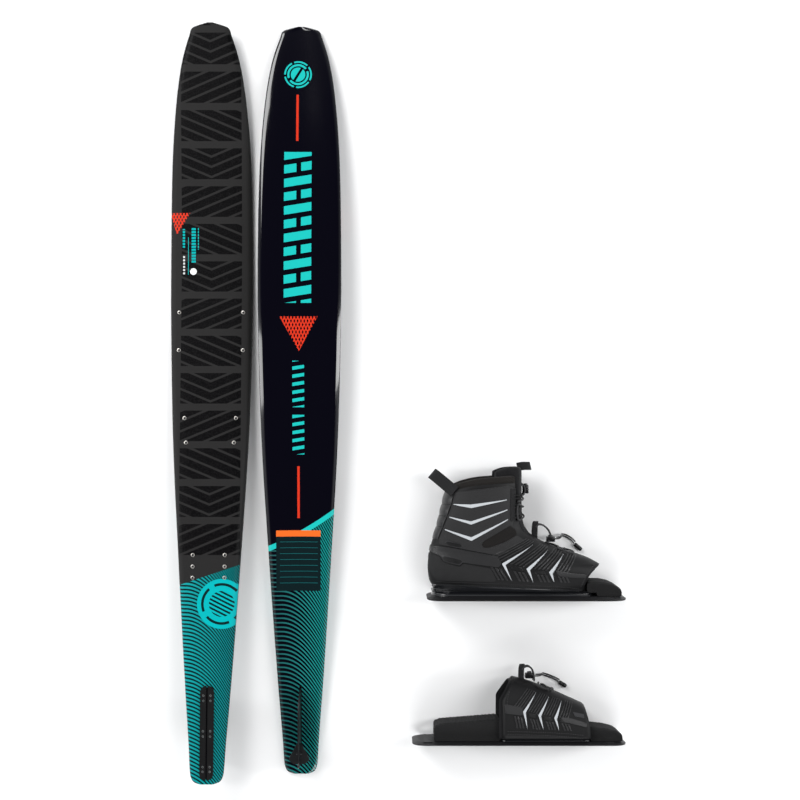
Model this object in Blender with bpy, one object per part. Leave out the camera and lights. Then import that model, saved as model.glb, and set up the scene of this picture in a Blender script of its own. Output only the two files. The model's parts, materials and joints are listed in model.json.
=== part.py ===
"""A slalom water ski set, laid out flat.

The same ski lies there twice, once deck up and once base up with its fin in the air. Beside them a
laced front boot and a rear toe plate lie on their sides. +X is across the skis, +Y runs from tail to
tip, +Z is up, and the origin is under the middle of the whole layout, on the floor.
"""

import math

import bmesh
import bpy
from mathutils import Matrix, Vector

MM = 0.001
GAP = 0.35

# The ski, in millimetres: x across, y from tail to tip, z up from the lowest line of the base.
SKI_LENGTH = 1600
SKI_STATIONS = 22
SKI_HALF_WIDTHS = (
    (0, 17), (3, 26), (9, 31.5), (20, 35), (80, 39), (211, 49.1), (464, 66), (718, 80.7), (971, 87.6),
    (1130, 88), (1309, 84.4), (1435, 75), (1520, 61.7), (1577, 44.3), (1592, 36), (1600, 8),
)
TAIL_CORNER = (0, 3, 9)
NOSE_CORNER = (20, 1592)
DECK_HEIGHT = 22
DECK_FLAT = (400, 1020)
TIP_DECK_RISE = 62
TAIL_DECK_RISE = 2
BASE_FLAT = (560, 760)
TIP_RISE = 75
TAIL_RISE = 12
EDGE_LOW = 4.5
EDGE_HIGH = 8.5
BASE_BEVEL = 9
DECK_CHAMFER = 13
CONCAVE = 3
SHEET = 1.1

# The threaded inserts: distance from the tail and half the spacing across.
FRONT_INSERTS = ((989, 68.4), (908, 68.4), (763, 54.6), (711, 50.9))
REAR_INSERTS = ((474, 33.7), (450, 33.7), (426.5, 33.7))
INSERT_RADIUS = 4.6
INSERT_BORE = 2.4
INSERT_DEPTH = 9
INSERT_PLATE = 2
PLATE_MARGIN = 4

# The fin, its clamp and its wing.
CLAMP_ENDS = (8, 203)
CLAMP_WIDTH = 28.6
CLAMP_PROUD = 1.6
CLAMP_DEPTH = 6
FIN_THICKNESS = 2.6
FIN_TOP_SPAN = (30, 186)
FIN_DEPTH = 65
FIN_TRAVEL = 4
WING_PIN = (59, -34)
WING_SPAN = 21
WING_THICKNESS = 1.6

# The bindings are drawn in the base size and graded up to the largest: x from heel to toe, y across
# and z up from the underside of the plate.
GRADE = 1.087
BOOT_PLATE_LENGTH = 380
TOE_PLATE_LENGTH = 408
PLATE_HALF_WIDTH = 57
PLATE_THICKNESS = 7
UPPER_THICKNESS = 5
LACE = 2.6
LACE_LIFT = 3.2
INSTEP_LACE_LIFT = 6.5
LACE_SHARES = (-1, -0.5, 0, 0.5, 1)
BUTTON_RADIUS = 4.2

# Height, heel end, toe end and half width of the boot's upper. Low down the toe end is cut off by the mouth.
BOOT_LEVELS = (
    (20, 14, 346, 44), (32, 6, 350, 48), (46, 3, 350, 50.5), (61, 2, 344, 50.5), (69, 2.5, 328, 50),
    (79, 3.5, 308, 49), (91, 6, 273, 48), (107, 10, 228, 47), (124, 16, 200, 46.5), (140, 21, 188, 48),
    (160, 26, 184, 50), (185, 32, 183, 51.5), (205, 37, 183, 52), (225, 40, 183, 52), (250, 42, 183, 52),
)
SQUARENESS = 0.8
HEEL_NARROWING = 0.2
ANKLE_AXIS = (88, 133)
FLEX_ZONE = (119.4, 145.6)
CUFF_OPENING = 0.74
COLLAR_OPENING = 0.64
TONGUE_HALF_TURN = 0.55
BUTTON_TRAVEL = 3

# The webbing loops, from where each leaves the upper to its fold: x, y and z. The other half mirrors it.
HEEL_LOOP = ((52, -43, 206), (40, -30, 216), (25, -19, 228.5), (14.5, -9, 237), (11, 0, 239.5))
HEEL_LOOP_LEAN = (0.64, 0, 0.76)
TONGUE_LOOP = ((178, -5, 254), (188, -6.5, 254), (196, -5, 254), (201, 0, 254))
INSTEP_LOOP = ((209.5, -7, 124), (209.5, -7, 134), (210.5, -5.5, 142.5), (211.5, 0, 146.5))
TOE_LOOP = ((212.5, -7, 124.5), (212.5, -7, 134), (213.5, -5.5, 142), (214.5, 0, 146))

# The rear toe piece: its arch from the rear (0) to the front (1), with the height of its crown.
TOE_ARCH = (172, 338)
TOE_CROWN = ((0, 123), (0.2, 117.5), (0.4, 109.5), (0.6, 99.5), (0.8, 87), (1, 72))
TOE_HALF_WIDTH = 51
TOE_BASE = 12.4

# Where each item lies, from ski A's tail and middle: the second ski, and the bindings' toe ends and soles.
SKI_SPACING = 191
TOE_ENDS_ACROSS = 872
BOOT_SOLE_UP = 384
TOE_PLATE_SOLE_UP = 78

# How far along or up each item its weight acts, which decides what it lies on.
SKI_BALANCE = 780
BOOT_BALANCE = 95
TOE_BALANCE = 45

# The free lace ends: along the binding, up from its sole, and above the floor. The barrels hold both ends.
LACE_SPACING = 4
BARREL_RADIUS = 4.4
BOOT_TAIL = (
    (249.2, 112.5, 53), (255, 113, 52), (261, 113.5, 43), (264, 114.5, 27), (265.5, 114.5, 12),
    (269, 113.5, 3), (275, 112, 1.6), (281, 109, 1.6), (288, 104, 2.5), (292.6, 98.2, 4.4),
)
BOOT_BARREL = ((293, 97), (307, 85.5))
TOE_TAIL = (
    (237.2, 124.5, 48), (244, 124.5, 47), (250, 123.5, 39), (253.5, 121.5, 24), (255.5, 119, 11),
    (260, 116.5, 3),
    (267, 114, 1.6), (275, 111, 1.6), (283, 107.5, 2.5), (289.6, 104, 4.4),
)
TOE_BARREL = ((290.4, 103), (305, 94))

PALETTE = {
    "deck_film": ((0.028, 0.029, 0.03), 0.62, 0.0),
    "base_gloss": ((0.006, 0.006, 0.007), 0.12, 0.0),
    "ski_core": ((0.02, 0.02, 0.02), 0.5, 0.0),
    "insert_metal": ((0.6, 0.6, 0.6), 0.3, 1.0),
    "clamp_black": ((0.01, 0.01, 0.01), 0.35, 0.6),
    "fin_metal": ((0.08, 0.09, 0.09), 0.3, 0.9),
    "plate_black": ((0.014, 0.014, 0.015), 0.45, 0.0),
    "foam": ((0.016, 0.016, 0.017), 0.85, 0.0),
    "upper_black": ((0.018, 0.018, 0.019), 0.55, 0.0),
    "mesh_fabric": ((0.022, 0.022, 0.023), 0.8, 0.0),
    "webbing": ((0.012, 0.012, 0.013), 0.75, 0.0),
    "lace_black": ((0.01, 0.01, 0.01), 0.7, 0.0),
    "lock_plastic": ((0.008, 0.008, 0.009), 0.3, 0.0),
}


def make_material(name):
    colour, roughness, metallic = PALETTE[name]
    material = bpy.data.materials.get(name)
    if material:
        return material
    material = bpy.data.materials.new(name)
    material.use_nodes = True
    shader = material.node_tree.nodes["Principled BSDF"]
    shader.inputs["Base Color"].default_value = (*colour, 1)
    shader.inputs["Roughness"].default_value = roughness
    shader.inputs["Metallic"].default_value = metallic
    return material


def blend_table(table, at, column=1):
    """A smooth curve through the table's rows, read at one place along its first column."""
    if at <= table[0][0]:
        return table[0][column]
    if at >= table[-1][0]:
        return table[-1][column]
    i = max(k for k in range(len(table) - 1) if table[k][0] <= at)

    def slope(k):
        low, high = max(k - 1, 0), min(k + 1, len(table) - 1)
        return (table[high][column] - table[low][column]) / (table[high][0] - table[low][0])

    width = table[i + 1][0] - table[i][0]
    t = (at - table[i][0]) / width
    start, end = table[i][column], table[i + 1][column]
    return (
        (2 * t**3 - 3 * t**2 + 1) * start
        + (t**3 - 2 * t**2 + t) * width * slope(i)
        + (3 * t**2 - 2 * t**3) * end
        + (t**3 - t**2) * width * slope(i + 1)
    )


def smooth_route(points, spacing):
    """Points about one spacing apart on a smooth curve through the route."""
    points = [Vector(p) for p in points]
    ends = [2 * points[0] - points[1], *points, 2 * points[-1] - points[-2]]
    route = []
    for a, b, c, d in zip(ends, ends[1:], ends[2:], ends[3:]):
        steps = max(1, round((c - b).length / spacing))
        for k in range(steps):
            t = k / steps
            route.append(
                0.5 * (2 * b + (c - a) * t + (2 * a - 5 * b + 4 * c - d) * t**2
                       + (3 * b - a - 3 * c + d) * t**3)
            )
    return [*route, points[-1]]


def new_object(name, mesh, material, frame, origin=(0, 0, 0)):
    """An object under a frame, with its own origin moved to a place given in the frame's millimetres."""
    origin = Vector(origin) * MM
    mesh.transform(Matrix.Translation(-origin))
    mesh.materials.append(make_material(material))
    obj = bpy.data.objects.new(name, mesh)
    bpy.context.scene.collection.objects.link(obj)
    obj.parent = frame
    obj.location = origin
    return obj


def is_flat(face):
    start = face.verts[0].co
    return all(abs((vertex.co - start).dot(face.normal)) < 0.001 * MM for vertex in face.verts)


def loft(name, rings, material, frame, origin=(0, 0, 0), closed=False, scale=1.0):
    """One body through rings of equal point counts: capped at both ends, or closed on itself."""
    bm = bmesh.new()
    rows = [[bm.verts.new(Vector(p) * MM * scale) for p in ring] for ring in rings]
    count = len(rows[0])
    pairs = list(zip(rows, rows[1:]))
    if closed:
        pairs.append((rows[-1], rows[0]))
    for low, high in pairs:
        for k in range(count):
            bm.faces.new((low[k], low[(k + 1) % count], high[(k + 1) % count], high[k]))
    if not closed:
        bm.faces.new(rows[0])
        bm.faces.new(rows[-1])
    bm.normal_update()
    bmesh.ops.triangulate(bm, faces=[face for face in bm.faces if not is_flat(face)])
    bmesh.ops.recalc_face_normals(bm, faces=bm.faces)
    mesh = bpy.data.meshes.new(name)
    bm.to_mesh(mesh)
    bm.free()
    mesh.shade_smooth()
    mesh.set_sharp_from_angle(angle=math.radians(35))
    return new_object(name, mesh, material, frame, Vector(origin) * scale)


def prism(name, outline, low, high, material, frame, axis="z", **options):
    """A flat outline extruded along one axis; it lists the two other coordinates in order."""
    place = {
        "x": lambda u, v, w: (w, u, v),
        "y": lambda u, v, w: (u, w, v),
        "z": lambda u, v, w: (u, v, w),
    }[axis]
    rings = [[place(u, v, w) for u, v in outline] for w in (low, high)]
    return loft(name, rings, material, frame, **options)


def helper(obj):
    obj.hide_render = True
    obj.display_type = "WIRE"
    return obj


def cut(obj, cutter, operation="DIFFERENCE"):
    boolean = obj.modifiers.new(cutter.name, "BOOLEAN")
    boolean.operation = operation
    boolean.solver = "EXACT"
    boolean.object = helper(cutter)


def circle(x, y, radius, count=10):
    turn = math.tau / count
    return [(x + radius * math.cos(turn * k), y + radius * math.sin(turn * k)) for k in range(count)]


def stadium(start, end, width, x=0.0, count=6):
    """A bar with round ends, along y."""
    radius = width / 2
    outline = []
    for middle, first in ((end - radius, 0), (start + radius, math.pi)):
        for k in range(count + 1):
            angle = first + math.pi * k / count
            outline.append((x + radius * math.cos(angle), middle + radius * math.sin(angle)))
    return outline


def rounded(length, half_width, radius, start=0.0, count=4):
    """A rounded rectangle along x, centred across."""
    corners = (
        (start + length - radius, half_width - radius, 0), (start + radius, half_width - radius, 90),
        (start + radius, radius - half_width, 180), (start + length - radius, radius - half_width, 270),
    )
    outline = []
    for x, y, first in corners:
        for k in range(count + 1):
            angle = math.radians(first + 90 * k / count)
            outline.append((x + radius * math.cos(angle), y + radius * math.sin(angle)))
    return outline


def strap(name, route, across, width, thickness, material, frame, origin=(0, 0, 0), scale=1.0):
    """A flat band along a route, its width along one fixed direction."""
    route = [Vector(p) for p in route]
    across = Vector(across).normalized()
    rings = []
    for k, point in enumerate(route):
        ahead = route[min(k + 1, len(route) - 1)]
        behind = route[max(k - 1, 0)]
        outward = (ahead - behind).normalized().cross(across)
        rings.append([
            point + across * side * width / 2 + outward * lift * thickness / 2
            for side, lift in ((-1, -1), (1, -1), (1, 1), (-1, 1))
        ])
    return loft(name, rings, material, frame, origin, scale=scale)


def tube(name, route, diameter, material, frame, scale=1.0, resolution=2, spacing=2.6):
    """A round cord along a smooth curve through the route."""
    curve = bpy.data.curves.new(name, "CURVE")
    curve.dimensions = "3D"
    curve.bevel_depth = diameter / 2 * MM * scale
    curve.bevel_resolution = resolution
    curve.use_fill_caps = True
    points = smooth_route(route, diameter * spacing)
    spline = curve.splines.new("POLY")
    spline.points.add(len(points) - 1)
    for target, point in zip(spline.points, points):
        target.co = (*(point * MM * scale), 1)
    curve.materials.append(make_material(material))
    obj = bpy.data.objects.new(name, curve)
    bpy.context.scene.collection.objects.link(obj)
    obj.parent = frame
    return obj


def mirrored(half):
    return [*half, *((x, -y, z) for x, y, z in reversed(half[:-1]))]


def half_width(y):
    return blend_table(SKI_HALF_WIDTHS, y)


def base_height(y):
    if y < BASE_FLAT[0]:
        return TAIL_RISE * ((BASE_FLAT[0] - y) / BASE_FLAT[0]) ** 2
    if y > BASE_FLAT[1]:
        return TIP_RISE * ((y - BASE_FLAT[1]) / (SKI_LENGTH - BASE_FLAT[1])) ** 2.2
    return 0.0


def deck_height(y):
    if y < DECK_FLAT[0]:
        return DECK_HEIGHT + TAIL_DECK_RISE * ((DECK_FLAT[0] - y) / DECK_FLAT[0]) ** 2
    if y > DECK_FLAT[1]:
        return DECK_HEIGHT + TIP_DECK_RISE * ((y - DECK_FLAT[1]) / (SKI_LENGTH - DECK_FLAT[1])) ** 1.6
    return DECK_HEIGHT


def ski_stations():
    """Places along the ski, closer together at its two ends, with the rounded tail and the blunt nose."""
    start, end = NOSE_CORNER
    middle = [0.5 - 0.5 * math.cos(math.pi * k / SKI_STATIONS) for k in range(SKI_STATIONS + 1)]
    return [*TAIL_CORNER, *(start + (end - start) * t for t in middle), SKI_LENGTH]


def ski_section(y):
    """Half of the ski's section: the base from its middle outwards, the edge upwards, the deck inwards."""
    width = half_width(y)
    low, high = base_height(y), deck_height(y)
    share = (high - low) / DECK_HEIGHT
    chamfer, bevel = min(DECK_CHAMFER, 0.4 * width), min(BASE_BEVEL, 0.4 * width)
    base = [(0, low + CONCAVE * share), (0.4 * width, low + 0.6 * CONCAVE * share), (width - bevel, low)]
    edge = [(width, low + EDGE_LOW * share), (width, low + EDGE_HIGH * share)]
    return base, edge, [(width - chamfer, high), (0, high)]


def both_sides(half):
    """A half profile from its middle outwards, made whole: from the far left to the far right."""
    return [(-x, z) for x, z in reversed(half) if x > 0] + half


def base_sheet(name, frame):
    rings = []
    for y in ski_stations():
        base, edge, _ = ski_section(y)
        inner = [(x, z + SHEET) for x, z in base] + [(edge[0][0] - 1.6, edge[0][1])]
        ring = both_sides(base + edge[:1]) + both_sides(inner)[::-1]
        rings.append([Vector((x, y, z)) for x, z in ring])
    return loft(name, rings, "base_gloss", frame)


def top_sheet(name, frame):
    rings = []
    for y in ski_stations():
        _, edge, deck = ski_section(y)
        corner, middle = deck
        inner = [(0, middle[1] - SHEET), (corner[0] - 0.6, corner[1] - SHEET), (edge[1][0] - 1.5, edge[1][1])]
        ring = both_sides([middle, corner, edge[1]]) + both_sides(inner)[::-1]
        rings.append([Vector((x, y, z)) for x, z in ring])
    return loft(name, rings, "deck_film", frame)


def core(name, frame):
    rings = []
    for y in ski_stations():
        base, edge, (corner, middle) = ski_section(y)
        width, low, high = edge[0][0] - 0.1, edge[0][1] + GAP, edge[1][1] - GAP
        half = [(x - (0.3 if x else 0), z + SHEET + GAP) for x, z in base]
        half += [(width - 2.2, low), (width, low), (width, high), (width - 2.2, high)]
        half += [(corner[0] - 1.1, corner[1] - SHEET - GAP), (0, middle[1] - SHEET - GAP)]
        ring = half + [(-x, z) for x, z in reversed(half) if x > 0]
        rings.append([Vector((x, y, z)) for x, z in ring])
    return loft(name, rings, "ski_core", frame)


def insert_plate(name, inserts, frame):
    """A thin doubler under the deck, with a threaded boss for each binding screw."""
    ends = [y for y, _ in inserts]
    width = max(x for _, x in inserts) + PLATE_MARGIN
    narrow = min(x for _, x in inserts) + PLATE_MARGIN
    top = DECK_HEIGHT - SHEET - GAP
    first, last = min(ends) - 9, max(ends) + 9
    outline = [(-narrow, first), (narrow, first), (width, last), (-width, last)]
    if len(inserts) > 3:
        knee = inserts[1][0] - 10
        outline = [(-narrow, first), (narrow, first), (width, knee)]
        outline += [(width, last), (-width, last), (-width, knee)]
    plate = prism(name, outline, top - INSERT_PLATE, top, "insert_metal", frame)
    for k, (y, x) in enumerate(inserts):
        for side in (-1, 1):
            boss = prism(f"{name}_boss_{k}_{side}", circle(side * x, y, INSERT_RADIUS, 8),
                         DECK_HEIGHT - INSERT_DEPTH, DECK_HEIGHT, "insert_metal", frame)
            cut(plate, boss, "UNION")
    for k, (y, x) in enumerate(inserts):
        for side in (-1, 1):
            bore = prism(f"{name}_bore_{k}_{side}", circle(side * x, y, INSERT_BORE, 6),
                         DECK_HEIGHT - INSERT_DEPTH + 1.5, DECK_HEIGHT + 2, "insert_metal", frame)
            cut(plate, bore)
    return outline


def grow(outline, by):
    middle = sum((Vector(p) for p in outline), Vector((0, 0))) / len(outline)
    return [(x + math.copysign(by, x - middle.x), y + math.copysign(by, y - middle.y)) for x, y in outline]


def fin_outline(clearance=0.0):
    """Side view of the fin as (y, z): a straight top edge, a swept front and a rounded heel."""
    rear, front = FIN_TOP_SPAN
    top = DECK_HEIGHT - CLAMP_DEPTH + 3
    bottom = -FIN_DEPTH + base_height(100)
    outline = [(rear, top), (front, top), (front, -2)]
    for k in range(1, 8):
        angle = math.radians(90 * k / 8)
        outline.append((front - 62 * (1 - math.cos(angle)), -2 + (bottom + 2) * math.sin(angle)))
    outline.append((front - 66, bottom))
    outline.append((rear + 16, bottom))
    for k in range(1, 4):
        angle = math.radians(90 * k / 4)
        outline.append((rear + 16 * (1 - math.sin(angle)), bottom + 16 * (1 - math.cos(angle))))
    outline.append((rear, bottom + 16))
    return outline


def ski(prefix, frame):
    lower = base_sheet(f"{prefix}_base_sheet", frame)
    middle = core(f"{prefix}_core", frame)
    upper = top_sheet(f"{prefix}_top_sheet", frame)
    for place, inserts in (("front", FRONT_INSERTS), ("rear", REAR_INSERTS)):
        outline = insert_plate(f"{prefix}_{place}_insert_plate", inserts, frame)
        floor = DECK_HEIGHT - SHEET - GAP * 2 - INSERT_PLATE
        recess = prism(f"{prefix}_{place}_recess", grow(outline, GAP), floor, DECK_HEIGHT + 2, "ski_core",
                       frame)
        cut(middle, recess)
        for k, (y, x) in enumerate(inserts):
            for side in (-1, 1):
                hole = prism(f"{prefix}_{place}_hole_{k}_{side}", circle(side * x, y, INSERT_RADIUS + GAP, 8),
                             DECK_HEIGHT - INSERT_DEPTH - GAP, DECK_HEIGHT + 2, "ski_core", frame)
                cut(middle, hole)
                cut(upper, hole)
    start, end = CLAMP_ENDS
    pocket = prism(f"{prefix}_clamp_pocket", stadium(start - GAP, end + GAP, CLAMP_WIDTH + 2 * GAP),
                   DECK_HEIGHT - CLAMP_DEPTH - GAP, DECK_HEIGHT + 12, "ski_core", frame)
    cut(middle, pocket)
    cut(upper, pocket)
    slot_width = FIN_THICKNESS + 2 * GAP
    rear, front = FIN_TOP_SPAN[0] - FIN_TRAVEL - 2, FIN_TOP_SPAN[1] + FIN_TRAVEL + 2
    slot = prism(f"{prefix}_fin_slot", stadium(rear, front, slot_width, count=2), -8, DECK_HEIGHT, "ski_core",
                 frame)
    cut(middle, slot)
    cut(lower, slot)
    for side, word in ((-1, "left"), (1, "right")):
        jaw = prism(f"{prefix}_fin_clamp_{word}", stadium(start, end, CLAMP_WIDTH), DECK_HEIGHT - CLAMP_DEPTH,
                    DECK_HEIGHT + TAIL_DECK_RISE + CLAMP_PROUD, "clamp_black", frame)
        inner = side * (FIN_THICKNESS / 2 + GAP)
        other_half = [(inner, 0), (-side * 40, 0), (-side * 40, 220), (inner, 220)]
        keep_out = prism(f"{prefix}_jaw_side_{word}", other_half, 0, 40, "clamp_black", frame)
        cut(jaw, keep_out)
    fin = prism(f"{prefix}_fin", fin_outline(), -FIN_THICKNESS / 2, FIN_THICKNESS / 2, "fin_metal", frame,
                axis="x", origin=(0, 100, 0))
    eye = prism(f"{prefix}_pin_hole", circle(*WING_PIN, 3.2, 12), -8, 8, "fin_metal", frame, axis="x")
    cut(fin, eye)
    wing = prism(f"{prefix}_fin_wing", circle(*WING_PIN, 2.8, 12), -6, 6, "fin_metal", frame, axis="x",
                 origin=(0, *WING_PIN))
    for side in (-1, 1):
        root = side * (FIN_THICKNESS / 2 + GAP)
        blade = [(root, 82), (side * 5, 80), (side * 14, 62), (side * WING_SPAN, 50), (side * WING_SPAN, 44),
                 (side * 12, 37), (root, 36)]
        plate = prism(f"{prefix}_wing_blade_{side}", blade, WING_PIN[1] - WING_THICKNESS / 2,
                      WING_PIN[1] + WING_THICKNESS / 2, "fin_metal", frame)
        cut(wing, plate, "UNION")
    return {"fin": fin, "wing": wing}


def boot_level(z):
    return [blend_table(BOOT_LEVELS, z, column) for column in (1, 2, 3)]


def boot_point(turn, z, inset=0.0):
    """A point on the boot's skin: turn 0 is the toe side, half a turn the heel."""
    heel, toe, width = boot_level(z)
    reach = (toe - heel) / 2 - inset
    c, s = math.cos(turn), math.sin(turn)
    x = (toe + heel) / 2 + reach * math.copysign(abs(c) ** SQUARENESS, c)
    heel_share = min(1, max(0, (210 - x) / 150)) * min(1, max(0, (150 - z) / 60))
    half = (width - inset) * (1 - HEEL_NARROWING * heel_share)
    return Vector((x, half * math.copysign(abs(s) ** SQUARENESS, s), z))


def boot_band(name, low, high, material, frame, outer=0.0, inner=UPPER_THICKNESS, rows=4, count=28,
              turns=(0, math.tau), **options):
    """A band of the boot's skin between two heights, the top edge fixed or varying with the turn."""
    whole = turns[1] - turns[0] > math.tau - 0.001
    top = high if callable(high) else lambda turn: high
    columns = []
    for k in range(count if whole else count + 1):
        turn = turns[0] + (turns[1] - turns[0]) * k / count
        levels = [low + (top(turn) - low) * step / rows for step in range(rows + 1)]
        skin = [boot_point(turn, z, outer) for z in levels]
        lining = [boot_point(turn, z, inner) for z in reversed(levels)]
        columns.append(skin + lining)
    return loft(name, columns, material, frame, closed=whole, scale=GRADE, **options)


def open_front(half_turn):
    return half_turn, math.tau - half_turn


def collar_top(turn):
    """The collar's top edge: low at the heel, high over the shin."""
    back = (1 - math.cos(turn)) / 2
    return 236 - 20 * back**2.5


def bolt_slots(plate, places, frame):
    """Cuts the slots for the binding bolts, each long enough to move the binding to the next insert."""
    for k, (x, y) in enumerate(places):
        outline = [(x + along, y + across) for across, along in stadium(-9, 9, 7, count=4)]
        cut(plate, prism(f"{plate.name}_slot_{k}", outline, -5, 20, "plate_black", frame, scale=GRADE))


def lace_lock(prefix, x, z, length, drop, frame):
    """A small spring lock on the lace: a block, and the button that is pressed down into it."""
    block = rounded(length, 7, 3, x - length / 2)
    body = prism(f"{prefix}_lock", block, z - drop, z + 5, "lock_plastic", frame, scale=GRADE)
    well = prism(f"{prefix}_lock_well", circle(x, 0, BUTTON_RADIUS + 0.5, 12), z - 0.6 - BUTTON_TRAVEL, z + 9,
                 "lock_plastic", frame, scale=GRADE)
    cut(body, well)
    top = z + 5 + BUTTON_TRAVEL + 1
    prism(f"{prefix}_lock_button", circle(x, 0, BUTTON_RADIUS, 12), z, top, "lock_plastic", frame,
          origin=(x, 0, z), scale=GRADE)


def crossed_lace(name, rows, reach, skin, frame):
    """A lace that crosses the skin from side to side: each row runs from one edge to the other."""
    route = []
    for k, (start, end) in enumerate(rows):
        side = 1 if k % 2 else -1
        for share in LACE_SHARES:
            route.append(skin((start + end) / 2 - share * (end - start) / 2, -share * side * reach))
    return tube(name, route, LACE, "lace_black", frame, scale=GRADE)


def boot(frame):
    plate = prism("boot_plate", rounded(BOOT_PLATE_LENGTH, PLATE_HALF_WIDTH, 34), 0, PLATE_THICKNESS,
                  "plate_black", frame, scale=GRADE)
    bolt_slots(plate, [(x, y) for x in (34, 350) for y in (-46, 46)], frame)
    prism("boot_chassis_rail", rounded(314, 41.5, 36, 8, 6), PLATE_THICKNESS + GAP, 16, "plate_black", frame,
          scale=GRADE)
    bed_turns = [math.tau * k / 36 for k in range(36)]
    bed_rings = [[boot_point(turn, z, UPPER_THICKNESS + GAP + 0.4) for turn in bed_turns] for z in (16.6, 26)]
    bed = loft("boot_footbed", bed_rings, "foam", frame, scale=GRADE)
    cut(bed, prism("boot_footbed_end", [(303, -70), (380, -70), (380, 70), (303, 70)], 0, 60, "foam", frame,
                   scale=GRADE))
    low = PLATE_THICKNESS + GAP
    pad = [(305, 16.5), (323, 16.5), (324, low), (371, low), (371, 18), (366, 24), (354, 30), (338, 33.5),
           (314, 34), (305, 33.5)]
    prism("boot_toe_pad", pad, -36, 36, "foam", frame, axis="y", scale=GRADE)
    shell = boot_band("boot_shell", 16.4, FLEX_ZONE[0] - 0.4, "upper_black", frame, rows=7, count=30)
    mouth = [(291, 10), (296, 17), (309, 46), (323, 61), (334, 67), (370, 67), (370, 10)]
    cut(shell, prism("boot_toe_mouth", mouth, -70, 70, "upper_black", frame, axis="y", scale=GRADE))
    boot_band("boot_flex_zone", *FLEX_ZONE, "mesh_fabric", frame, rows=2)
    ankle = (ANKLE_AXIS[0], 0, ANKLE_AXIS[1])
    low = FLEX_ZONE[1] + 0.4
    boot_band("boot_cuff", low, lambda turn: collar_top(turn) - 12, "upper_black", frame, outer=0.5,
              inner=4.5, count=26, turns=open_front(CUFF_OPENING), origin=ankle)
    boot_band("boot_collar", low, collar_top, "mesh_fabric", frame, outer=5, inner=12, count=26,
              turns=open_front(COLLAR_OPENING), origin=ankle)
    boot_band("boot_tongue", low, 247, "mesh_fabric", frame, outer=-1, inner=9, count=8,
              turns=(-TONGUE_HALF_TURN, TONGUE_HALF_TURN), origin=ankle)
    spine = [boot_point(math.pi, z, -1.3) for z in (150, 165, 180, 198)]
    strap("boot_heel_spine", spine, (0, 1, 0), 24, 2.4, "webbing", frame, origin=ankle, scale=GRADE)
    strap("boot_heel_loop", smooth_route(mirrored(HEEL_LOOP), 7), HEEL_LOOP_LEAN, 22, 2, "webbing", frame,
          origin=ankle, scale=GRADE)
    strap("boot_tongue_loop", smooth_route(mirrored(TONGUE_LOOP), 6), (0, 0, 1), 13, 2, "webbing", frame,
          origin=ankle, scale=GRADE)
    for side, word in ((-1, "left"), (1, "right")):
        turn = side * (CUFF_OPENING + 0.1)
        stay = [boot_point(turn, z, -1.6) for z in (150, 165, 180, 195, 212)]
        outward = boot_point(turn + side * 0.1, 180) - boot_point(turn, 180)
        strap(f"boot_lace_stay_{word}", stay, outward, 11, 2, "webbing", frame, origin=ankle, scale=GRADE)
    crossed_lace("boot_upper_lace", ((197, 187), (180, 170), (163, 153)), 0.64,
                 lambda z, turn: boot_point(turn, z, -LACE_LIFT), frame)
    lace_lock("boot_upper", 191.6, 212, 12, 11, frame)
    crossed_lace("boot_lower_lace", ((103, 97.5), (97.5, 92.5), (92.5, 88)), 0.4,
                 lambda z, turn: boot_point(turn, z, -INSTEP_LACE_LIFT), frame)
    lace_lock("boot_lower", 240, 112.5, 17, 5, frame)
    strap("boot_instep_loop", smooth_route(mirrored(INSTEP_LOOP), 6), (1, 0, 0), 10, 1.8, "webbing", frame,
          scale=GRADE)


def toe_point(along, turn, inset=0.0):
    """A point on the rear toe piece's arch: along it from rear to front, and round it from side to side."""
    c, s = math.cos(turn), math.sin(turn)
    crown = blend_table(TOE_CROWN, along) - inset
    z = TOE_BASE + (crown - TOE_BASE) * abs(s) ** 0.78
    y = (TOE_HALF_WIDTH - inset) * math.copysign(abs(c) ** 0.7, c)
    x = TOE_ARCH[0] + (TOE_ARCH[1] - TOE_ARCH[0]) * along
    x += 0.6 * max(0, z - 84) * (1 - along) - 0.22 * max(0, z - 36) * along
    return Vector((x, y, z))


def toe_band(name, material, frame, outer, inner, span=(0, 1), rows=6, count=20):
    columns = []
    for k in range(count + 1):
        turn = math.pi * k / count
        places = [span[0] + (span[1] - span[0]) * step / rows for step in range(rows + 1)]
        skin = [toe_point(t, turn, outer) for t in places]
        columns.append(skin + [toe_point(t, turn, inner) for t in reversed(places)])
    return loft(name, columns, material, frame, scale=GRADE)


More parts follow.
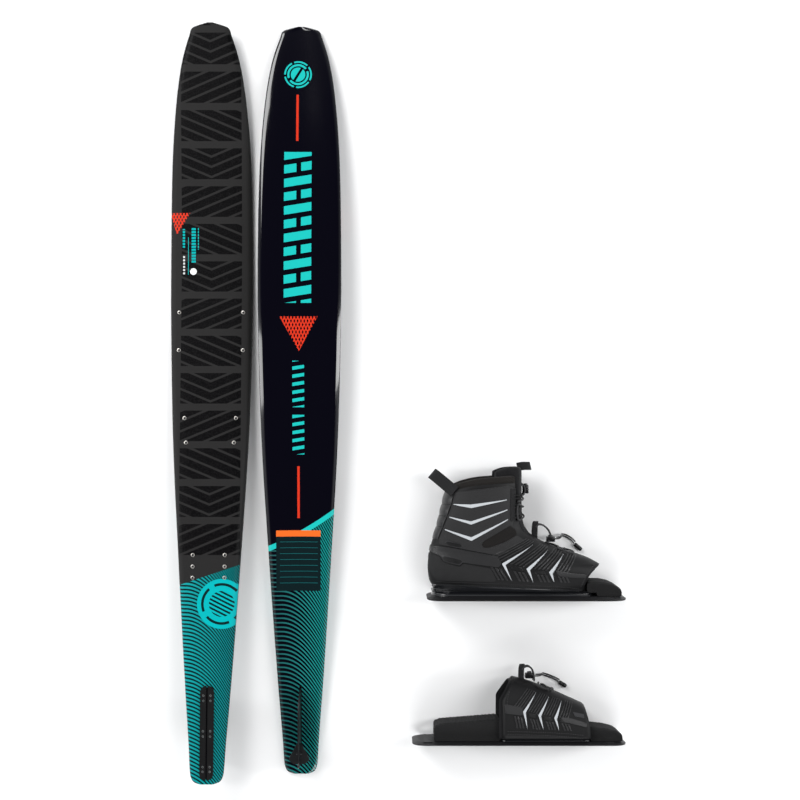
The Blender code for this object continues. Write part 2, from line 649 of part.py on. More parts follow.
def toe_plate(frame):
    plate = prism("toe_plate", rounded(TOE_PLATE_LENGTH, 54, 30), 0, 5.4, "plate_black", frame, scale=GRADE)
    bolt_slots(plate, [(x, y) for x in (30, 378) for y in (-44, 44)], frame)
    prism("toe_chassis_rail", rounded(170, 46, 10, 169), 5.4 + GAP, 11.8, "plate_black", frame, scale=GRADE)
    pad = [(42, 5.4 + GAP), (168, 5.4 + GAP), (168, 46), (160, 46.6), (52, 38), (42, 33)]
    prism("toe_heel_pad", pad, -36, 36, "foam", frame, axis="y", scale=GRADE)
    bed = [(169, 12.2), (334, 12.2), (334, 20), (169, 22)]
    prism("toe_footbed", bed, -38, 38, "foam", frame, axis="y", scale=GRADE)
    front = [(340, 5.4 + GAP), (401, 5.4 + GAP), (401, 18), (392, 24), (372, 29), (340, 32)]
    prism("toe_front_pad", front, -37, 37, "foam", frame, axis="y", scale=GRADE)
    toe_band("toe_upper", "upper_black", frame, 0, 4)
    toe_band("toe_sleeve", "mesh_fabric", frame, 4.4, 7, span=(-0.04, 0.97))
    crossed_lace("toe_lace", ((0.4, 0.46), (0.5, 0.56), (0.6, 0.66)), 0.3,
                 lambda along, turn: toe_point(along, math.pi / 2 + turn, -LACE_LIFT), frame)
    lace_lock("toe", 228, 124.5, 17, 5, frame)
    strap("toe_pull_loop", smooth_route(mirrored(TOE_LOOP), 6), (1, 0, 0), 10, 1.8, "webbing", frame,
          scale=GRADE)


def new_frame(name):
    frame = bpy.data.objects.new(name, None)
    bpy.context.scene.collection.objects.link(frame)
    return frame


def solids_of(frame):
    return [obj for obj in frame.children if not obj.hide_render]


def points_of(objects, matrix):
    """The objects' points in their frame, after one more turn of that frame."""
    found = []
    for obj in objects:
        mesh = obj.to_mesh()
        found += [matrix @ (obj.location + vertex.co) for vertex in mesh.vertices]
        obj.to_mesh_clear()
    return found


def turns_left(a, b, c):
    return (b[0] - a[0]) * (c[1] - a[1]) > (b[1] - a[1]) * (c[0] - a[0])


def rest_turn(points, over):
    """The turn about +X that brings level the lower edge of the points' outline under a place along Y."""
    hull = []
    for p in sorted({(round(p.y, 6), round(p.z, 6)) for p in points}):
        while len(hull) > 1 and not turns_left(hull[-2], hull[-1], p):
            hull.pop()
        hull.append(p)
    for left, right in zip(hull, hull[1:]):
        if left[0] <= over <= right[0]:
            return -math.atan2(right[1] - left[1], right[0] - left[0])
    raise ValueError("nothing to rest on there")


def lay_down(frame, base_turn, over, place, edge):
    """Rests a frame on the floor: its middle or right edge, and its low edge along Y, come to the place."""
    solids = solids_of(frame)
    level = rest_turn(points_of(solids, base_turn), over * MM)
    turn = Matrix.Rotation(level, 4, "X") @ base_turn
    points = points_of(solids, turn)
    low = min(p.z for p in points)
    across = {"middle": 0.0, "right": max(p.x for p in points)}[edge]
    up = min(p.y for p in points)
    frame.matrix_world = Matrix.Translation((place[0] * MM - across, place[1] * MM - up, -low)) @ turn


def floor_point(frame, spot, drop=0.0):
    """A place beside a binding, in metres, from its side view and a height above the floor."""
    point = frame.matrix_world @ (Vector((spot[0], 0, spot[1])) * MM * GRADE)
    return Vector((point.x, point.y, drop * MM * GRADE))


def lace_tails(prefix, frame, route, barrel):
    """The two free ends of a lace: out of the lock, down to the floor and along it into one end barrel."""
    for k in range(2):
        shift = LACE_SPACING * k
        points = [floor_point(frame, (x + 0.6 * shift, z + 0.8 * shift), drop) / MM for x, z, drop in route]
        tube(f"{prefix}_lace_tail_{k + 1}", points, LACE * GRADE, "lace_black", None, spacing=2.4)
    start, end = (floor_point(frame, spot, BARREL_RADIUS) / MM for spot in barrel)
    along = (end - start).normalized()
    across = along.cross(Vector((0, 0, 1)))
    rings = []
    for place, radius in ((0, 0.72), (0.12, 0.96), (0.3, 1), (0.75, 1), (1, 0.78)):
        middle = start.lerp(end, place)
        reach = BARREL_RADIUS * GRADE * radius
        rings.append([middle + across * x + Vector((0, 0, y)) for x, y in circle(0, 0, reach, 12)])
    return loft(f"{prefix}_lace_end", rings, "lock_plastic", None)


def centre_layout(frames):
    """Moves everything so that the middle of the solids, laces apart, is over the origin."""
    places = [obj.matrix_world @ Vector(corner) for frame in frames.values() for obj in solids_of(frame)
              for corner in obj.bound_box]
    middle = [(min(p[axis] for p in places) + max(p[axis] for p in places)) / 2 for axis in (0, 1)]
    for frame in frames.values():
        frame.location -= Vector((*middle, 0))


def clear_scene():
    for obj in list(bpy.data.objects):
        bpy.data.objects.remove(obj, do_unlink=True)


def main():
    clear_scene()
    frames = {name: new_frame(f"{name}_frame") for name in ("ski_a", "ski_b", "boot", "toe")}
    ski("ski_a", frames["ski_a"])
    ski("ski_b", frames["ski_b"])
    boot(frames["boot"])
    toe_plate(frames["toe"])
    on_side = Matrix.Rotation(-math.pi / 2, 4, "X")
    lay_down(frames["ski_a"], Matrix.Identity(4), SKI_BALANCE, (0, 0), "middle")
    lay_down(frames["ski_b"], Matrix.Rotation(math.pi, 4, "Y"), SKI_BALANCE, (SKI_SPACING, 0), "middle")
    lay_down(frames["boot"], on_side, BOOT_BALANCE, (TOE_ENDS_ACROSS, BOOT_SOLE_UP), "right")
    lay_down(frames["toe"], on_side, TOE_BALANCE, (TOE_ENDS_ACROSS, TOE_PLATE_SOLE_UP), "right")
    bpy.context.view_layer.update()
    centre_layout(frames)
    bpy.context.view_layer.update()
    lace_tails("boot", frames["boot"], BOOT_TAIL, BOOT_BARREL)
    lace_tails("toe", frames["toe"], TOE_TAIL, TOE_BARREL)


main()
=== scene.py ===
"""Looks for the slalom water ski set: a ski deck up, the same ski base up, a front boot and a rear toe plate.

Every part is drawn in its own frame in millimetres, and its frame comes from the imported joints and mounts.
A ski's frame: x across, y from the tail, z up from the base. A binding's frame: x from heel to toe, y across,
z up from the sole, in the base size that GRADE brings up to the real one.
"""

import json
import math

import bmesh
import bpy
from mathutils import Matrix, Vector


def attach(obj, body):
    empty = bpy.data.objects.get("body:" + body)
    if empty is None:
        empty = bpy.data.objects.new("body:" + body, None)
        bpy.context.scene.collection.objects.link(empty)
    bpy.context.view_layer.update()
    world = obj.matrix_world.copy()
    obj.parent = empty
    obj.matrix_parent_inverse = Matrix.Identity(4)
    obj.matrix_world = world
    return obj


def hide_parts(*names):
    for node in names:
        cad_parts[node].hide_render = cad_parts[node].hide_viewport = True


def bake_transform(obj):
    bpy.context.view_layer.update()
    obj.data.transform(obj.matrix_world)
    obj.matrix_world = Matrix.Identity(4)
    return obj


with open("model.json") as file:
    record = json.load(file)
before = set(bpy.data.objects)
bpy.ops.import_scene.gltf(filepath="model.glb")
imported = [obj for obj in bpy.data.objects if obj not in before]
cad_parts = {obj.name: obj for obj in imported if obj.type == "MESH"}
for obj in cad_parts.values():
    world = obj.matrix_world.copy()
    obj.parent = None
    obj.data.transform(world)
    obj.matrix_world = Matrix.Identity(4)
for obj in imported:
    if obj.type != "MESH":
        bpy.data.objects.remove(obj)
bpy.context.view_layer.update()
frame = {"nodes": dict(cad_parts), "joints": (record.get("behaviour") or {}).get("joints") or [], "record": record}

MM = 0.001
GRADE = 1.087

# The camera looks straight down; VIEW_WIDTH is what it sees across, VIEW_LEVEL above the floor.
VIEW_WIDTH = 1.689
VIEW_LEVEL = 0.05
CAMERA_HEIGHT = 2.6
CAMERA_X = 0.0113
SENSOR = 36.0

# The ski's plan and side view, as the CAD has them.
SKI_LENGTH = 1600
SKI_HALF_WIDTHS = (
    (0, 17), (3, 26), (9, 31.5), (20, 35), (80, 39), (211, 49.1), (464, 66), (718, 80.7), (971, 87.6),
    (1130, 88), (1309, 84.4), (1435, 75), (1520, 61.7), (1577, 44.3), (1592, 36), (1600, 8),
)
DECK_HEIGHT = 22
DECK_FLAT = (400, 1020)
TIP_DECK_RISE = 62
TAIL_DECK_RISE = 2
BASE_FLAT = (560, 760)
TIP_RISE = 75
TAIL_RISE = 12
EDGE_LOW = 4.5
EDGE_HIGH = 8.5
BASE_BEVEL = 9
DECK_CHAMFER = 13
CONCAVE = 3
SKI_STATIONS = 150
FRONT_INSERTS = ((989, 68.4), (908, 68.4), (763, 54.6), (711, 50.9))
REAR_INSERTS = ((474, 33.7), (450, 33.7), (426.5, 33.7))
CLAMP_ENDS = (8, 203)
CLAMP_WIDTH = 28.6
CLAMP_TOP = 25.6
CLAMP_SCREWS = (182.4, 171.6, 109.2, 98.4, 35.9, 26.2)
CLAMP_SCREW_X = 7.5
CLAMP_FOOT = 19.0
CLAMP_GAP = 0.35
FIN_THICKNESS = 2.6
WING_PIN = (59, -34)

# The boot: height, heel end, toe end and half width of its skin.
BOOT_LEVELS = (
    (20, 14, 346, 44), (32, 6, 350, 48), (46, 3, 350, 50.5), (61, 2, 344, 50.5), (69, 2.5, 328, 50),
    (79, 3.5, 308, 49), (91, 6, 273, 48), (107, 10, 228, 47), (124, 16, 200, 46.5), (140, 21, 188, 48),
    (160, 26, 184, 50), (185, 32, 183, 51.5), (205, 37, 183, 52), (225, 40, 183, 52), (250, 42, 183, 52),
)
SQUARENESS = 0.8
HEEL_NARROWING = 0.2
ANKLE_AXIS = (88, 133)
TONGUE_REACH = 1.3
SHELL_LOW = 16.4
LINER_PROUD = 7
MOUTH = ((10, 291), (17, 296), (46, 309), (61, 323), (68, 336))

# The toe piece's arch from the rear (0) to the front (1), with the height of its crown.
TOE_ARCH = (172, 338)
TOE_CROWN = ((0, 123), (0.2, 117.5), (0.4, 109.5), (0.6, 99.5), (0.8, 87), (1, 72))
TOE_HALF_WIDTH = 51
TOE_BASE = 12.4

# The chevrons moulded into both uppers: number, vertex, arm up to the lacing and arm down to the sole.
# After the number, each is (x, z).
BOOT_CHEVRONS = (
    (-1, 97, 81, 75, 34, 25, -42),
    (0, 142, 69.8, 58.9, 34.3, 18.8, -32.5),
    (1, 187.9, 60.5, 42.5, 34.4, 13, -25),
    (2, 230.7, 53.9, 28.8, 32.5, 10, -19.2),
    (3, 270, 48, 18, 30, 8, -14),
)
TOE_CHEVRONS = (
    (-1, 181, 69.5, 34, 39, 6.5, -37),
    (0, 210.4, 62.8, 29, 37.1, 7.9, -31.5),
    (1, 239.4, 56.3, 23.9, 35.4, 9.3, -26.7),
    (2, 269.5, 51, 17.4, 33.4, 8.7, -22.5),
    (3, 300, 46, 11, 31, 8, -19),
)

# The free lace ends: along the binding, up from its sole, and above the floor.
LACE = 2.6
LACE_LIFT = 3.2
INSTEP_LACE_LIFT = 6.5
LACE_SHARES = (-1, -0.5, 0, 0.5, 1)
LACE_SPACING = 4
LACE_STEP = 2.4
# A screw's slot in a sole plate, along and across.
SCREW_SLOT = (18, 7)
TUBE_STEP = 0.9
BAND_ROUNDING = 0.35
BARREL_RADIUS = 4.4
BOOT_TAIL = (
    (249.2, 112.5, 53), (255, 113, 52), (261, 113.5, 43), (264, 114.5, 27), (265.5, 114.5, 12),
    (269, 113.5, 3), (275, 112, 1.6), (281, 109, 1.6), (288, 104, 2.5), (292.6, 98.2, 4.4),
)
BOOT_BARREL = ((293, 97), (307, 85.5))
TOE_TAIL = (
    (237.2, 124.5, 48), (244, 124.5, 47), (250, 123.5, 39), (253.5, 121.5, 24), (255.5, 119, 11),
    (260, 116.5, 3), (267, 114, 1.6), (275, 111, 1.6), (283, 107.5, 2.5), (289.6, 104, 4.4),
)
TOE_BARREL = ((290.4, 103), (305, 94))

# The two cords from the crossings up over each lock and into it: one of them, which the other mirrors.
CUFF_RISE = (
    (158, -33, 222), (168, -27, 224), (179, -18, 222.5), (186.5, -11.5, 217), (189.5, -8.4, 210),
    (189.5, -8, 204), (187, -13, 199.5), (181, -25, 197),
)
FOOT_RISE = (
    (231, -12, 104.5), (234, -8, 107), (238, -5, 111), (240, -4, 120), (235, -5, 131), (226, -6, 139),
    (216, -7, 141), (211, -7.5, 136),
)
TOE_RISE = (
    (236, -11, 115.5), (237, -8, 119), (236, -6, 128), (233, -6, 137), (226, -7, 142.5), (218, -7.5, 141),
    (214, -7.5, 136),
)

# The webbing loops, from where each leaves the upper to its fold: x, y and z. The other half mirrors it.
HEEL_LOOP = ((52, -43, 206), (40, -30, 216), (25, -19, 228.5), (14.5, -9, 237), (11, 0, 239.5))
HEEL_LOOP_LEAN = (0.64, 0, 0.76)
TONGUE_LOOP = ((176, -4, 252), (188, -6.5, 254), (196, -5, 254), (201, 0, 254))
INSTEP_LOOP = ((208.5, -7, 112), (209.5, -7, 134), (210.5, -5.5, 142.5), (211.5, 0, 146.5))
TOE_LOOP = ((212, -7, 116), (212.5, -7, 134), (213.5, -5.5, 142), (214.5, 0, 146))

# Instead of a body's name: the piece spans the ankle between the boot and its cuff, and is attached to neither.
FLEX = "flex"

HORIZON_LIGHT = 0.78
CEILING_LIGHT = 0.03

TEAL = (0.0, 0.36, 0.36)
BRIGHT_TEAL = (0.012, 0.47, 0.435)
RED = (0.62, 0.035, 0.014)
# Painted shade: near black for the deck under the fin clamp, where the uncut pocket and the split between the jaws
# lie in shadow.
CLAMP_POCKET_SHADE = (0.003, 0.003, 0.004)
DECK_GREY = (0.0175, 0.017, 0.017)
BLOCK_INK = (0.001, 0.001, 0.0013)
BLOCK_SPECK = (0.0048, 0.0045, 0.005)


def joint(name):
    return next(j for j in frame["joints"] if j["name"] == name)


def mount(name):
    return next(m for m in frame["record"]["mounts"] if m["name"] == name)


def axes_matrix(x, y, z, spot, local, scale=1.0):
    """The frame with these axes, in metres, that has a local point, in millimetres, at the given spot."""
    turn = Matrix((x, y, z)).transposed()
    origin = Vector(spot) - turn @ (Vector(local) * MM * scale)
    return Matrix.Translation(origin) @ turn.to_4x4() @ Matrix.Scale(MM * scale, 4)


def ski_frame(prefix, x_sign):
    x = Vector((x_sign, 0, 0))
    y = Vector(joint(f"{prefix}_fin_slide")["axis"])
    return axes_matrix(x, y, x.cross(y), joint(f"{prefix}_wing_pitch")["pos_m"], (0, *WING_PIN))


def boot_frame():
    x, y = Vector((1, 0, 0)), Vector(joint("cuff_flex")["axis"])
    ankle = (ANKLE_AXIS[0], 0, ANKLE_AXIS[1])
    return axes_matrix(x, y, x.cross(y), joint("cuff_flex")["pos_m"], ankle, GRADE)


def toe_frame():
    x, z = Vector((1, 0, 0)), -Vector(joint("toe_lock_button_press")["axis"])
    return axes_matrix(x, z.cross(x), z, mount("toe_plate_sole")["pos_m"], (200, 0, 0), GRADE)


SKI_A, SKI_B, BOOT, TOE = ski_frame("ski_a", 1), ski_frame("ski_b", -1), boot_frame(), toe_frame()


# Curves and tables

def read_table(table, at, column=1):
    """A smooth curve through the table's rows, read at one place along its first column."""
    if at <= table[0][0]:
        return table[0][column]
    if at >= table[-1][0]:
        return table[-1][column]
    i = max(k for k in range(len(table) - 1) if table[k][0] <= at)

    def slope(k):
        low, high = max(k - 1, 0), min(k + 1, len(table) - 1)
        return (table[high][column] - table[low][column]) / (table[high][0] - table[low][0])

    width = table[i + 1][0] - table[i][0]
    t = (at - table[i][0]) / width
    start, end = table[i][column], table[i + 1][column]
    return (
        (2 * t**3 - 3 * t**2 + 1) * start
        + (t**3 - 2 * t**2 + t) * width * slope(i)
        + (3 * t**2 - 2 * t**3) * end
        + (t**3 - t**2) * width * slope(i + 1)
    )


def smooth_route(points, spacing):
    """Points about one spacing apart on a smooth curve through the route."""
    points = [Vector(p) for p in points]
    ends = [2 * points[0] - points[1], *points, 2 * points[-1] - points[-2]]
    route = []
    for a, b, c, d in zip(ends, ends[1:], ends[2:], ends[3:]):
        steps = max(1, round((c - b).length / spacing))
        for k in range(steps):
            t = k / steps
            route.append(
                0.5 * (2 * b + (c - a) * t + (2 * a - 5 * b + 4 * c - d) * t**2
                       + (3 * b - a - 3 * c + d) * t**3)
            )
    return [*route, points[-1]]


def length_of(points):
    return sum((b - a).length for a, b in zip(points, points[1:]))


# Materials

class Shade:
    """One procedural material in the making, around its Principled shader."""

    def __init__(self, name, colour, roughness, metallic=0.0, **settings):
        self.material = bpy.data.materials.new(name)
        self.material.use_nodes = True
        self.tree = self.material.node_tree
        self.shader = self.tree.nodes["Principled BSDF"]
        self.put("Base Color", (*colour, 1))
        self.put("Roughness", roughness)
        self.put("Metallic", metallic)
        for key, value in settings.items():
            self.put(key.replace("_", " "), value)
        self.place = self.node("ShaderNodeTexCoord").outputs["Object"]

    def connect(self, socket, value):
        if isinstance(value, bpy.types.NodeSocket):
            self.tree.links.new(value, socket)
        else:
            socket.default_value = value

    def put(self, key, value):
        self.connect(self.shader.inputs[key], value)

    def node(self, kind, inputs=None, **settings):
        node = self.tree.nodes.new(kind)
        for key, value in settings.items():
            setattr(node, key, value)
        for key, value in (inputs or {}).items():
            self.connect(node.inputs[key], value)
        return node

    def math(self, operation, a, b=0.0, c=0.0):
        return self.node("ShaderNodeMath", {0: a, 1: b, 2: c}, operation=operation).outputs[0]

    def mix(self, factor, a, b):
        a, b = ((*colour[:3], 1) if isinstance(colour, tuple) else colour for colour in (a, b))
        return self.node("ShaderNodeMix", {0: factor, 6: a, 7: b}, data_type="RGBA").outputs[2]

    def blend(self, factor, a, b):
        return self.node("ShaderNodeMix", {0: factor, 2: a, 3: b}, data_type="FLOAT").outputs[0]

    def stretched(self, scale):
        return self.node("ShaderNodeMapping", {"Vector": self.place, "Scale": scale}).outputs[0]

    def noise(self, scale, detail=3.0, stretch=(1, 1, 1)):
        return self.node("ShaderNodeTexNoise", {"Vector": self.stretched(stretch), "Scale": scale,
                                                "Detail": detail}).outputs["Fac"]

    def cells(self, scale, stretch=(1, 1, 1)):
        return self.node("ShaderNodeTexVoronoi", {"Vector": self.stretched(stretch),
                                                  "Scale": scale}).outputs["Distance"]

    def ribs(self, direction, pitch):
        """Waves from 0 to 1 across a direction, one pitch in millimetres apart."""
        turned = self.node("ShaderNodeVectorMath", {0: self.place, 1: Vector(direction).normalized()},
                           operation="DOT_PRODUCT").outputs["Value"]
        wave = self.math("SINE", self.math("MULTIPLY", turned, math.tau / (pitch * MM)))
        return self.math("MULTIPLY_ADD", wave, 0.5, 0.5)

    def relief(self, height, depth, strength=1.0):
        """Bump of a depth in millimetres."""
        normal = self.node("ShaderNodeBump", {"Height": height, "Distance": depth * MM, "Strength": strength})
        self.put("Normal", normal.outputs[0])

    def vary(self, colour, amount, scale, key="Base Color"):
        """The colour, darker and lighter by an amount from place to place."""
        low, high = (tuple(c * (1 + side * amount) for c in colour) for side in (-1, 1))
        self.put(key, self.mix(self.noise(scale), low, high))


class Print(Shade):
    """A ski's printed film. Its masks are drawn in millimetres: x across from the middle, s from the tail."""

    def __init__(self, name, colour, roughness, **settings):
        super().__init__(name, colour, roughness, **settings)
        place = self.node("ShaderNodeUVMap", uv_map="place").outputs[0]
        plan = self.node("ShaderNodeSeparateXYZ", {0: place})
        self.x, self.s = (self.math("MULTIPLY", plan.outputs[k], 1000.0) for k in (0, 1))
        self.colour = (*colour, 1)

    def fold(self, operation, first, *rest):
        for value in rest:
            first = self.math(operation, first, value)
        return first

    def both(self, *masks):
        return self.fold("MULTIPLY", *masks)

    def either(self, *masks):
        return self.fold("MAXIMUM", *masks)

    def outside(self, mask):
        return self.math("SUBTRACT", 1.0, mask)

    def below(self, value, limit):
        return self.math("LESS_THAN", value, limit)

    def above(self, value, limit):
        return self.math("GREATER_THAN", value, limit)

    def between(self, value, low, high):
        return self.math("COMPARE", value, (low + high) / 2, (high - low) / 2)

    def sloped(self, value, gain, start):
        """The start, plus the gain for each unit of the value."""
        return self.math("MULTIPLY_ADD", value, gain, start)

    def box(self, x, s):
        return self.both(self.between(self.x, *x), self.between(self.s, *s))

    def line(self, across, along, offset):
        """across·x + along·s + offset, which is 0 on a line."""
        return self.math("ADD", self.sloped(self.x, across, offset), self.math("MULTIPLY", self.s, along))

    def side_of(self, a, b):
        """1 on the left of the line from a to b."""
        dx, ds = b[0] - a[0], b[1] - a[1]
        return self.above(self.line(-ds, dx, ds * a[0] - dx * a[1]), 0.0)

    def triangle(self, a, b, c):
        return self.both(self.side_of(a, b), self.side_of(b, c), self.side_of(c, a))

    def polar(self, x, s):
        """The distance from a point, and the angle round it."""
        dx, ds = self.math("SUBTRACT", self.x, x), self.math("SUBTRACT", self.s, s)
        squares = self.sloped(dx, dx, self.math("MULTIPLY", ds, ds))
        return self.math("SQRT", squares), self.math("ARCTAN2", ds, dx)

    def stripes(self, value, pitch, share):
        """1 on a share of each pitch."""
        return self.below(self.math("FRACT", self.math("DIVIDE", value, pitch)), share)

    def paint(self, mask, colour):
        self.colour = self.mix(mask, self.colour, colour)
        self.put("Base Color", self.colour)


def swept(film, start, gain, reach=88.0):
    """The tail's curves: level on the left, then falling ever steeper over a reach, then straight on."""
    across = film.math("MAXIMUM", film.math("ADD", film.x, start), 0.0)
    curved = film.math("MINIMUM", across, reach)
    fall = film.math("MULTIPLY", film.math("MULTIPLY", curved, curved), gain)
    rest = film.math("MULTIPLY", film.math("SUBTRACT", across, curved), 2 * reach * gain)
    return film.math("ADD", film.s, film.math("ADD", fall, rest))


def red_fan(film, corners, lean):
    """A triangle of close stripes that slant both ways."""
    streaks = [film.stripes(film.line(side, lean, 500), 7.0, 0.42) for side in (1.0, -1.0)]
    film.paint(film.both(film.triangle(*corners), film.either(*streaks)), RED)


def deck_blocks(film):
    """Big hatched blocks down the deck: stacked chevrons, then bars that lean one way and the other."""
    first, pitch, block, last = 1579.0, 80.0, 65.0, 465.0
    slant, hatch, gap_share = 0.42, 21.5, 0.24
    row = film.math("DIVIDE", film.math("SUBTRACT", first, film.s), pitch)
    t = film.math("MULTIPLY", film.math("FRACT", row), pitch)
    kind = film.math("FLOORED_MODULO", film.math("FLOOR", row), 3.0)
    inside = film.both(film.between(film.x, -64.0, 65.0), film.between(t, 0.0, block),
                       film.above(film.s, last))
    peak = film.sloped(film.math("ABSOLUTE", film.x), slant, t)
    rising, falling = (film.sloped(film.x, lean, t) for lean in (slant, -slant))
    gaps = []
    for k, value in enumerate((peak, rising, falling)):
        hatched = film.stripes(film.math("ADD", value, 200.0), hatch, gap_share)
        gaps.append(film.both(film.between(kind, k - 0.5, k + 0.5), hatched))
    return film.both(inside, film.outside(film.either(*gaps)))


def deck_marks(film):
    """The small marks at the deck's left edge: a red fan, columns of short bars, a thin rule and a dot."""
    red_fan(film, ((-89, 1202), (-74, 1156), (-46, 1202)), 0.55)
    columns = (((-62, -57), (1128, 1168)), ((-43, -34), (1096, 1170)), ((-29.5, -27.5), (1124, 1170)))
    bars = [film.both(film.box(x, s), film.stripes(film.s, 6.3, 0.72)) for x, s in columns]
    film.paint(film.either(*bars), TEAL)
    film.paint(film.box((-50.4, -49.2), (1070, 1150)), TEAL)
    ticks = film.both(film.box((-61, -57), (1069, 1111)), film.stripes(film.s, 7.0, 0.6))
    film.paint(ticks, (0.6, 0.62, 0.62))
    film.paint(film.below(film.polar(-39, 1077)[0], 7.2), (0.75, 0.77, 0.77))


def deck_tail(film):
    """The teal tail under dark swept lines, with a round badge of arcs and bars."""
    tail = film.above(film.line(0.333, -1.0, 431.8), 0.0)
    share = film.blend(film.sloped(film.x, 0.008, 0.5), 0.46, 0.56)
    dark = film.stripes(swept(film, 48.0, 0.0098), 8.0, share)
    rim, turn = film.polar(28.5, 372.0)
    quarters = film.stripes(film.math("ADD", turn, 4.0), math.tau / 4, 0.8)
    arcs = film.both(film.between(rim, 38.0, 43.5), quarters)
    bars = film.both(film.below(rim, 27.0), film.stripes(film.line(0.5, 1.0, 500), 9.0, 0.5))
    disc = film.below(rim, 52.0)
    lines = film.either(film.both(dark, film.outside(disc)), film.either(arcs, bars))
    teal = film.mix(film.sloped(film.x, 0.009, 0.4), (0.005, 0.29, 0.30), (0.0015, 0.175, 0.185))
    film.paint(tail, film.mix(lines, film.mix(disc, teal, (0.001, 0.39, 0.41)), (0.002, 0.016, 0.017)))
    return tail


def deck_film():
    """The matt deck print, with gloss on its blocks and its tail."""
    film = Print("deck_film_print", DECK_GREY, 0.5, Specular_IOR_Level=0.09)
    low, high = (tuple(share * c for c in DECK_GREY) for share in (0.82, 1.18))
    film.colour = film.mix(film.noise(900, 2), low, high)
    blocks = deck_blocks(film)
    speckle = film.above(film.noise(420, 4), 0.53)
    film.paint(blocks, film.mix(speckle, BLOCK_INK, BLOCK_SPECK))
    deck_marks(film)
    tail = deck_tail(film)
    # Painted shade under the fin clamp: the uncut pocket and the narrow split between the jaws are drawn near
    # black.
    film.paint(film.box((-13.4, 13.4), (12, 199)), CLAMP_POCKET_SHADE)
    film.put("Roughness", film.blend(film.either(blocks, tail), 0.52, 0.36))
    film.relief(film.math("ADD", film.noise(2600, 2), film.math("MULTIPLY", blocks, 0.4)), 0.03, 0.5)
    return film.material


def emblem(film, x, s):
    """A round generic badge: a disc with one slanting cut, inside a broken ring and an outer one."""
    rim, turn = film.polar(x, s)
    cut = film.between(film.line(1.0, 0.6, -(x + 0.6 * s)), -3.2, 3.2)
    disc = film.both(film.below(rim, 15.5), film.outside(cut))
    halves = film.stripes(film.math("ADD", turn, 0.35), math.tau / 2, 0.9)
    arcs = film.both(film.between(rim, 18.5, 23.0), halves)
    outer = film.both(film.between(rim, 26.0, 29.5), film.stripes(turn, math.tau / 5, 0.86))
    return film.either(disc, arcs, outer)


def base_bars(film):
    """Two rows of plain slanted bars along the middle."""
    lean = film.sloped(film.x, 0.16, film.s)
    large = film.both(film.box((-25.0, 33.0), (1006.0, 1326.0)), film.stripes(lean, 29.2, 0.62))
    split = film.both(film.between(film.x, -3.0, 7.0), film.stripes(lean, 58.4, 0.5))
    small = film.both(film.box((-10.0, 15.0), (686.0, 884.0)), film.stripes(lean, 17.0, 0.42),
                      film.outside(film.between(film.s, 770.0, 786.0)))
    return film.either(film.both(large, film.outside(split)), small)


def base_tail(film):
    """Teal swept lines on black up to a bright curved edge, with x mirrored from here on."""
    curve = film.math("ADD", film.s, film.math("MULTIPLY", film.math("MULTIPLY", film.x, film.x), -0.0012))
    rise = film.sloped(film.x, 0.56, curve)
    tail, edge = film.below(rise, 524.0), film.between(rise, 512.0, 524.0)
    film.x = film.math("MULTIPLY", film.x, -1.0)
    share = film.blend(film.sloped(film.x, 0.0085, 0.5), 0.3, 0.52)
    lines = film.stripes(swept(film, 40.0, 0.0105), 9.6, share)
    teal = film.mix(film.sloped(film.x, 0.009, 0.5), (0.015, 0.085, 0.085), (0.006, 0.25, 0.23))
    film.paint(film.both(tail, lines), teal)
    film.paint(edge, BRIGHT_TEAL)


def base_panel(film):
    """The blank ruled panel on the tail, and painted shade in the slot that the fin stands in."""
    film.paint(film.box((-50, 44), (396, 525)), (0.004, 0.012, 0.014))
    rules = film.both(film.box((-42, 38), (406, 504)), film.stripes(film.s, 12.5, 0.09))
    film.paint(rules, (0.008, 0.1, 0.105))
    film.paint(film.box((-50, 44), (512, 525)), (0.8, 0.14, 0.02))
    # Painted shade: the slot round the fin is drawn near black instead of cut.
    film.paint(film.box((-2.2, 2.2), (24.0, 192.0)), (0.002, 0.002, 0.002))


def base_film():
    """The gloss black base print, with a badge, bars, red marks and the swept tail."""
    film = Print("base_film_print", (0.0014, 0.0012, 0.004), 0.09, Coat_Weight=0.2, Coat_Roughness=0.03)
    film.paint(film.either(emblem(film, 5.3, 1494.0), base_bars(film)), BRIGHT_TEAL)
    film.paint(film.either(film.box((3.2, 8.2), (1350, 1450)), film.box((0.0, 5.0), (551, 661))), RED)
    red_fan(film, ((1, 904.6), (42.2, 977.4), (-38.6, 977.4)), -0.45)
    base_tail(film)
    base_panel(film)
    film.relief(film.noise(14, 2), 0.12, 0.12)
    return film.material


def plain(name, colour, roughness, metallic=0.0, grain=1400, depth=0.05, amount=0.12, **settings):
    """A moulded or cast finish: a fine grain, and a tone and gloss that wander a little."""
    settings.setdefault("Specular_IOR_Level", 0.3)
    shade = Shade(name, colour, roughness, metallic, **settings)
    shade.vary(colour, amount, 60)
    shade.put("Roughness", shade.blend(shade.noise(90), roughness * 0.85, min(1.0, roughness * 1.15)))
    shade.relief(shade.noise(grain, 2), depth, 0.6)
    return shade.material


def brushed_fabric():
    """The boot's woven side panels: brushed streaks over a fine weave."""
    shade = Shade("brushed_fabric", (0.02, 0.02, 0.021), 0.6, Sheen_Weight=0.1, Sheen_Roughness=0.4,
                  Specular_IOR_Level=0.25)
    streaks = shade.noise(620, 3, (0.35, 3.2, 3.2))
    shade.put("Base Color", shade.mix(streaks, (0.004, 0.004, 0.0045), (0.026, 0.0255, 0.0265)))
    weave = shade.math("MULTIPLY", shade.ribs((1, 0, 0), 0.9), shade.ribs((0, 1, 0), 0.9))
    shade.relief(shade.math("ADD", streaks, weave), 0.09, 0.8)
    return shade.material


